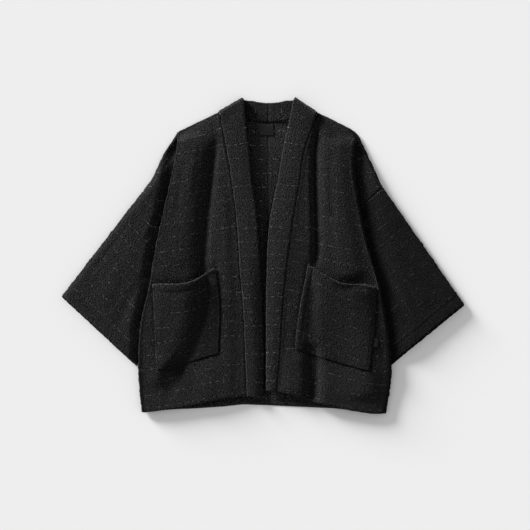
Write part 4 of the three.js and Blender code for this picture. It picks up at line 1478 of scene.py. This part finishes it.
class JACKET_OT_back(bpy.types.Operator):
    """Make both halves of the back"""

    bl_idname = "jacket.back"
    bl_label = "Back"

    def execute(self, context):
        for name in SIDES:
            self.half(name, context.scene.jacket_wool.seed)
        return {"FINISHED"}

    def half(self, name, seed):
        """One half: a flat panel meshed inside its outline, crumbly on top."""
        side = SIDES[name]
        shifted = -side["outward"] * SEAM_CLOSE
        corners = [*side["neck"], *side["shoulder"][1:], *side["back_side"], *side["back_hem"]]
        corners = [(x + shifted, y) if x == CENTRE_X else (x, y) for x, y in corners]
        outline = []
        for (ax, ay), (bx, by) in zip(corners, corners[1:] + corners[:1]):
            count = max(1, round(math.hypot(bx - ax, by - ay) / BACK_STEP))
            outline += [(mix(ax, bx, k / count), mix(ay, by, k / count)) for k in range(count)]
        ring = np.array(outline)
        low, high = ring.min(axis=0), ring.max(axis=0)
        jitter = np.random.default_rng(seed)
        inside = []
        for y in np.arange(low[1] + BACK_STEP, high[1], BACK_STEP):
            for x in np.arange(low[0] + BACK_STEP, high[0], BACK_STEP):
                spot = np.array([x, y]) + jitter.uniform(-BACK_JITTER, BACK_JITTER, 2) * BACK_STEP
                clear = np.linalg.norm(ring - spot, axis=1).min() > BACK_STEP * BACK_CLEAR
                if clear and self.holds(ring, spot):
                    inside.append(spot)
        flat = [Vector(p) for p in outline + inside]
        edges = [(k, (k + 1) % len(outline)) for k in range(len(outline))]
        verts, _, faces, *_ = delaunay_2d_cdt(flat, edges, [], 1, 1e-5)
        plan = np.array([tuple(v) for v in verts])
        tris = np.array(faces)
        away = np.linalg.norm(plan[:, None] - ring[None], axis=2).min(axis=1)
        rim = mix(BACK_RIM[0], 1.0, clamp01(away / BACK_RIM[1]))
        top = np.column_stack([plan, CLOTH * rim])
        top[:, 2] += BACK_CRUMB[0] * crumb(top, BACK_CRUMB[1], seed + SEED_STARTS["back"]) * rim
        bottom = np.column_stack([plan, np.zeros(len(plan))])
        points = np.concatenate([top, bottom])
        count = len(plan)
        used = {}
        for a, b, c in tris:
            for p, q in ((a, b), (b, c), (c, a)):
                used[(p, q)] = True
        rims = [(p, q) for p, q in used if (q, p) not in used]
        sides = []
        for p, q in rims:
            sides += [(q, p, count + p), (q, count + p, count + q)]
        faces = np.concatenate([tris, tris[:, ::-1] + count, np.array(sides)])
        uv = points[:, :2] * MM
        piece = piece_from("back_" + name, points, faces, uv[faces], finish_named("boucle_back"))
        settle(piece, "back_" + name)

    @staticmethod
    def holds(ring, spot):
        """Whether a spot lies inside an outline."""
        x, y = ring[:, 0], ring[:, 1]
        nx, ny = np.roll(x, -1), np.roll(y, -1)
        crosses = (y > spot[1]) != (ny > spot[1])
        drop = np.where(ny == y, 1, ny - y)
        meets = np.where(crosses, (nx - x) * (spot[1] - y) / drop + x, -np.inf)
        return bool(np.count_nonzero(crosses & (spot[0] < meets)) % 2)


class JACKET_OT_fronts(bpy.types.Operator):
    """Make both fronts, each folded over its sleeve"""

    bl_idname = "jacket.fronts"
    bl_label = "Fronts"

    def execute(self, context):
        for name in SIDES:
            grid = front_of(name)["grid"]
            uv = body_uv(grid, SIDES[name]["outward"], grid.shape[1] - CAP_STEPS)
            # Painted shade on the columns round the side fold and along the outline, where the low
            # lamp lights the rim
            from_fold = np.arange(grid.shape[1]) - (len(across_stations()) - 1)
            starts = smooth((from_fold + PAINTED_SHADE_FADE) / PAINTED_SHADE_FADE)
            ends = smooth((ARC_STEPS + PAINTED_SHADE_FADE - from_fold) / PAINTED_SHADE_FADE)
            pressed = np.maximum((starts * ends)[None, :], outline_painted_shade(name, grid))
            piece = wool_piece("front", name, grid, CLOTH, uv, pressed=pressed)
            settle(piece, "front_" + name)
        return {"FINISHED"}


class JACKET_OT_sleeves(bpy.types.Operator):
    """Make both sleeves, flattened tubes from the dropped shoulder to the cuff"""

    bl_idname = "jacket.sleeves"
    bl_label = "Sleeves"

    def execute(self, context):
        for name in SIDES:
            grid = sleeve_surface(name, front_of(name), mesh_step())
            # Painted shade along the sleeve's outer fold, where the low lamp lights the rim
            pressed = outline_painted_shade(name, grid)
            piece = wool_piece(
                "sleeve", name, grid, CLOTH, tube_uv(grid), ring=True, pressed=pressed,
            )
            settle(piece, "sleeve_" + name)
        return {"FINISHED"}


class JACKET_OT_band(bpy.types.Operator):
    """Make both halves of the doubled neckband"""

    bl_idname = "jacket.band"
    bl_label = "Neckband"

    def execute(self, context):
        for name in SIDES:
            grid = band_surface(name, front_of(name), mesh_step())
            piece = wool_piece("collar", name, grid, BAND_CLOTH, strip_uv(grid))
            settle(piece, "collar_" + name)
        return {"FINISHED"}


class JACKET_OT_pockets(bpy.types.Operator):
    """Make both gaping patch pockets"""

    bl_idname = "jacket.pockets"
    bl_label = "Pockets"

    def execute(self, context):
        for name in SIDES:
            grid = pocket_surface(name, front_of(name))
            uv = body_uv(grid, SIDES[name]["outward"])
            uv[..., 1] += uv[..., 0] * POCKET_SLANT[name]
            piece = wool_piece("pocket", name, grid, POCKET_CLOTH, uv)
            settle(piece, "pocket_" + name)
        return {"FINISHED"}


class JACKET_OT_labels(bpy.types.Operator):
    """Make the plain neck label and the plain tag beside one pocket"""

    bl_idname = "jacket.labels"
    bl_label = "Labels"

    def execute(self, context):
        self.neck_label()
        self.pocket_tag()
        return {"FINISHED"}

    def neck_label(self):
        """A ribbon lying on the inside of the back, swelling slightly in its middle."""
        across = np.linspace(-0.5, 0.5, LABEL_POINTS[0])
        down = np.linspace(0.5, -0.5, LABEL_POINTS[1])
        x, y = np.meshgrid(
            LABEL_CENTRE[0] + across * LABEL_SIZE[0], LABEL_CENTRE[1] + down * LABEL_SIZE[1],
        )
        base = CLOTH + SEAM_GAP + LABEL_CLOTH / 2
        swell = LABEL_SWELL * np.cos(np.pi * across)[None, :] * np.cos(np.pi * down)[:, None]
        flat = np.stack([x, y, x * 0], axis=-1)
        z = base + swell + LABEL_RIPPLE[0] * crumb(flat, LABEL_RIPPLE[1], LABEL_SEEDS["ripple"])
        self.ribbon("neck_label", np.stack([x, y, z], axis=-1))

    def pocket_tag(self):
        """A short ribbon lying on the front beside the pocket's outer edge."""
        side = SIDES["right"]
        rows = np.linspace(*TAG_ROWS, TAG_POINTS[1])
        outer = POCKET_LINES[1]
        near_x, near_y = front_plan(side, rows, np.array([outer, FOLD_LINE], float))
        cell = math.hypot(near_x[0, 1] - near_x[0, 0], near_y[0, 1] - near_y[0, 0])
        share = TAG_START + np.linspace(0, 1, TAG_POINTS[0]) * TAG_WIDTH / cell
        x = mix(near_x[:, :1], near_x[:, 1:], share)
        y = mix(near_y[:, :1], near_y[:, 1:], share)
        start = side_fold(near_y[:, 1])[3]
        z = front_height("right", outer + share, x, y, start)
        z = z + (CLOTH + LABEL_CLOTH) / 2 + TAG_CLEAR
        self.ribbon("pocket_tag", np.stack([x, y, z], axis=-1))

    def ribbon(self, name, grid):
        """A satin wall round a grid, in the place of its solid."""
        piece = wall_piece(
            name, grid, LABEL_CLOTH, body_uv(grid), finish_named("label_satin"),
            LABEL_SEEDS[name], crumbs=LABEL_CRUMB,
        )
        settle(piece, name)


class JACKET_OT_stitches(bpy.types.Operator):
    """Sew the hems, cuffs, pockets, band and labels with rows of stitches"""

    bl_idname = "jacket.stitches"
    bl_label = "Stitches"

    def execute(self, context):
        tree = stitch_tree()
        for name in SIDES:
            front = front_of(name)
            body = outer_face(front["grid"][:, : len(front["across"])], CLOTH)
            hem = inset_line(body, "foot", HEM_STITCH_IN, ROW_TRIMS["front"])
            stitch_rows("stitches_front_" + name, [hem], tree)

            tube = sleeve_surface(name, front, mesh_step())
            upper = outer_face(tube[:, : tube.shape[1] // 2 + 1], CLOTH)
            cuff = inset_line(upper, "foot", CUFF_STITCH_IN, ROW_TRIMS["sleeve"])
            stitch_rows("stitches_sleeve_" + name, [cuff], tree)

            on_front = np.count_nonzero(front["rows"] >= BAND_FIRST_ROW)
            band = outer_face(band_surface(name, front, mesh_step())[-on_front:], BAND_CLOTH)
            seam = inset_line(band, "last", BAND_STITCH_IN, ROW_TRIMS["collar"])
            stitch_rows("stitches_collar_" + name, [seam], tree)

            pocket = outer_face(pocket_surface(name, front), POCKET_CLOTH)
            inner, outer = STITCH_IN[name]
            trim = ROW_TRIMS["pocket"]
            lines = [
                inset_line(pocket, "first", inner, trim),
                inset_line(pocket, "last", outer, trim),
                inset_line(pocket, "foot", outer, min(inner, outer)),
            ]
            if inner > EDGE_STITCH_IN:
                lines.append(inset_line(pocket, "first", EDGE_STITCH_IN, trim))
            stitch_rows("stitches_pocket_" + name, lines, tree)
        self.back(tree)
        self.labels(tree)
        return {"FINISHED"}

    def back(self, tree):
        """The double row that holds the neck facing to the back."""
        x = np.linspace(*NECK_STITCH_X, 40)
        sag = NECK_STITCH_SAG * ((x - CENTRE_X) / (NECK_STITCH_X[1] - CENTRE_X)) ** 2
        rows = []
        for below in NECK_STITCH_BELOW:
            rows.append(np.stack([x, BAND_SEAM_Y - below + sag, np.full_like(x, CLOTH)], axis=-1))
        stitch_rows("stitches_back", rows, tree)

    def labels(self, tree):
        """Rows that hold the two short ends of the neck label."""
        share = np.linspace(-LABEL_STITCH_SHARE, LABEL_STITCH_SHARE, 20)
        y = LABEL_CENTRE[1] + share * LABEL_SIZE[1]
        top = CLOTH + SEAM_GAP + LABEL_CLOTH
        rows = []
        for end in (-1, 1):
            x = LABEL_CENTRE[0] + end * (LABEL_SIZE[0] / 2 - LABEL_STITCH_IN)
            rows.append(np.stack([np.full_like(y, x), y, np.full_like(y, top)], axis=-1))
        stitch_rows("stitches_label", rows, tree)


class JACKET_PT_panel(bpy.types.Panel):
    """Lists the jacket's sizes, colours and pieces"""

    bl_label = "Laid Kimono Jacket"
    bl_idname = "JACKET_PT_panel"
    bl_space_type = "VIEW_3D"
    bl_region_type = "UI"
    bl_category = "Jacket"

    def draw(self, context):
        layout = self.layout
        for settings in GROUPS:
            group = getattr(context.scene, settings)
            box = layout.box()
            for name in group.bl_rna.properties.keys():
                if name not in {"rna_type", "name"}:
                    box.prop(group, name)
        for operator in OPERATORS:
            layout.operator(operator.bl_idname)


OPERATORS = (
    JACKET_OT_stage,
    JACKET_OT_back,
    JACKET_OT_sleeves,
    JACKET_OT_fronts,
    JACKET_OT_band,
    JACKET_OT_pockets,
    JACKET_OT_labels,
    JACKET_OT_stitches,
)
GROUPS = {"jacket_wool": JacketWool, "jacket_tints": JacketTints, "jacket_stage": JacketStage}


def register():
    for group in GROUPS.values():
        bpy.utils.register_class(group)
    for operator in OPERATORS:
        bpy.utils.register_class(operator)
    bpy.utils.register_class(JACKET_PT_panel)
    for name, group in GROUPS.items():
        setattr(bpy.types.Scene, name, PointerProperty(type=group))


def unregister():
    for name in GROUPS:
        delattr(bpy.types.Scene, name)
    bpy.utils.unregister_class(JACKET_PT_panel)
    for operator in reversed(OPERATORS):
        bpy.utils.unregister_class(operator)
    for group in reversed(list(GROUPS.values())):
        bpy.utils.unregister_class(group)


def main():
    register()
    bpy.ops.jacket.stage()
    bpy.ops.jacket.back()
    bpy.ops.jacket.sleeves()
    bpy.ops.jacket.fronts()
    bpy.ops.jacket.band()
    bpy.ops.jacket.pockets()
    bpy.ops.jacket.labels()
    bpy.ops.jacket.stitches()


if __name__ == "__main__":
    main()
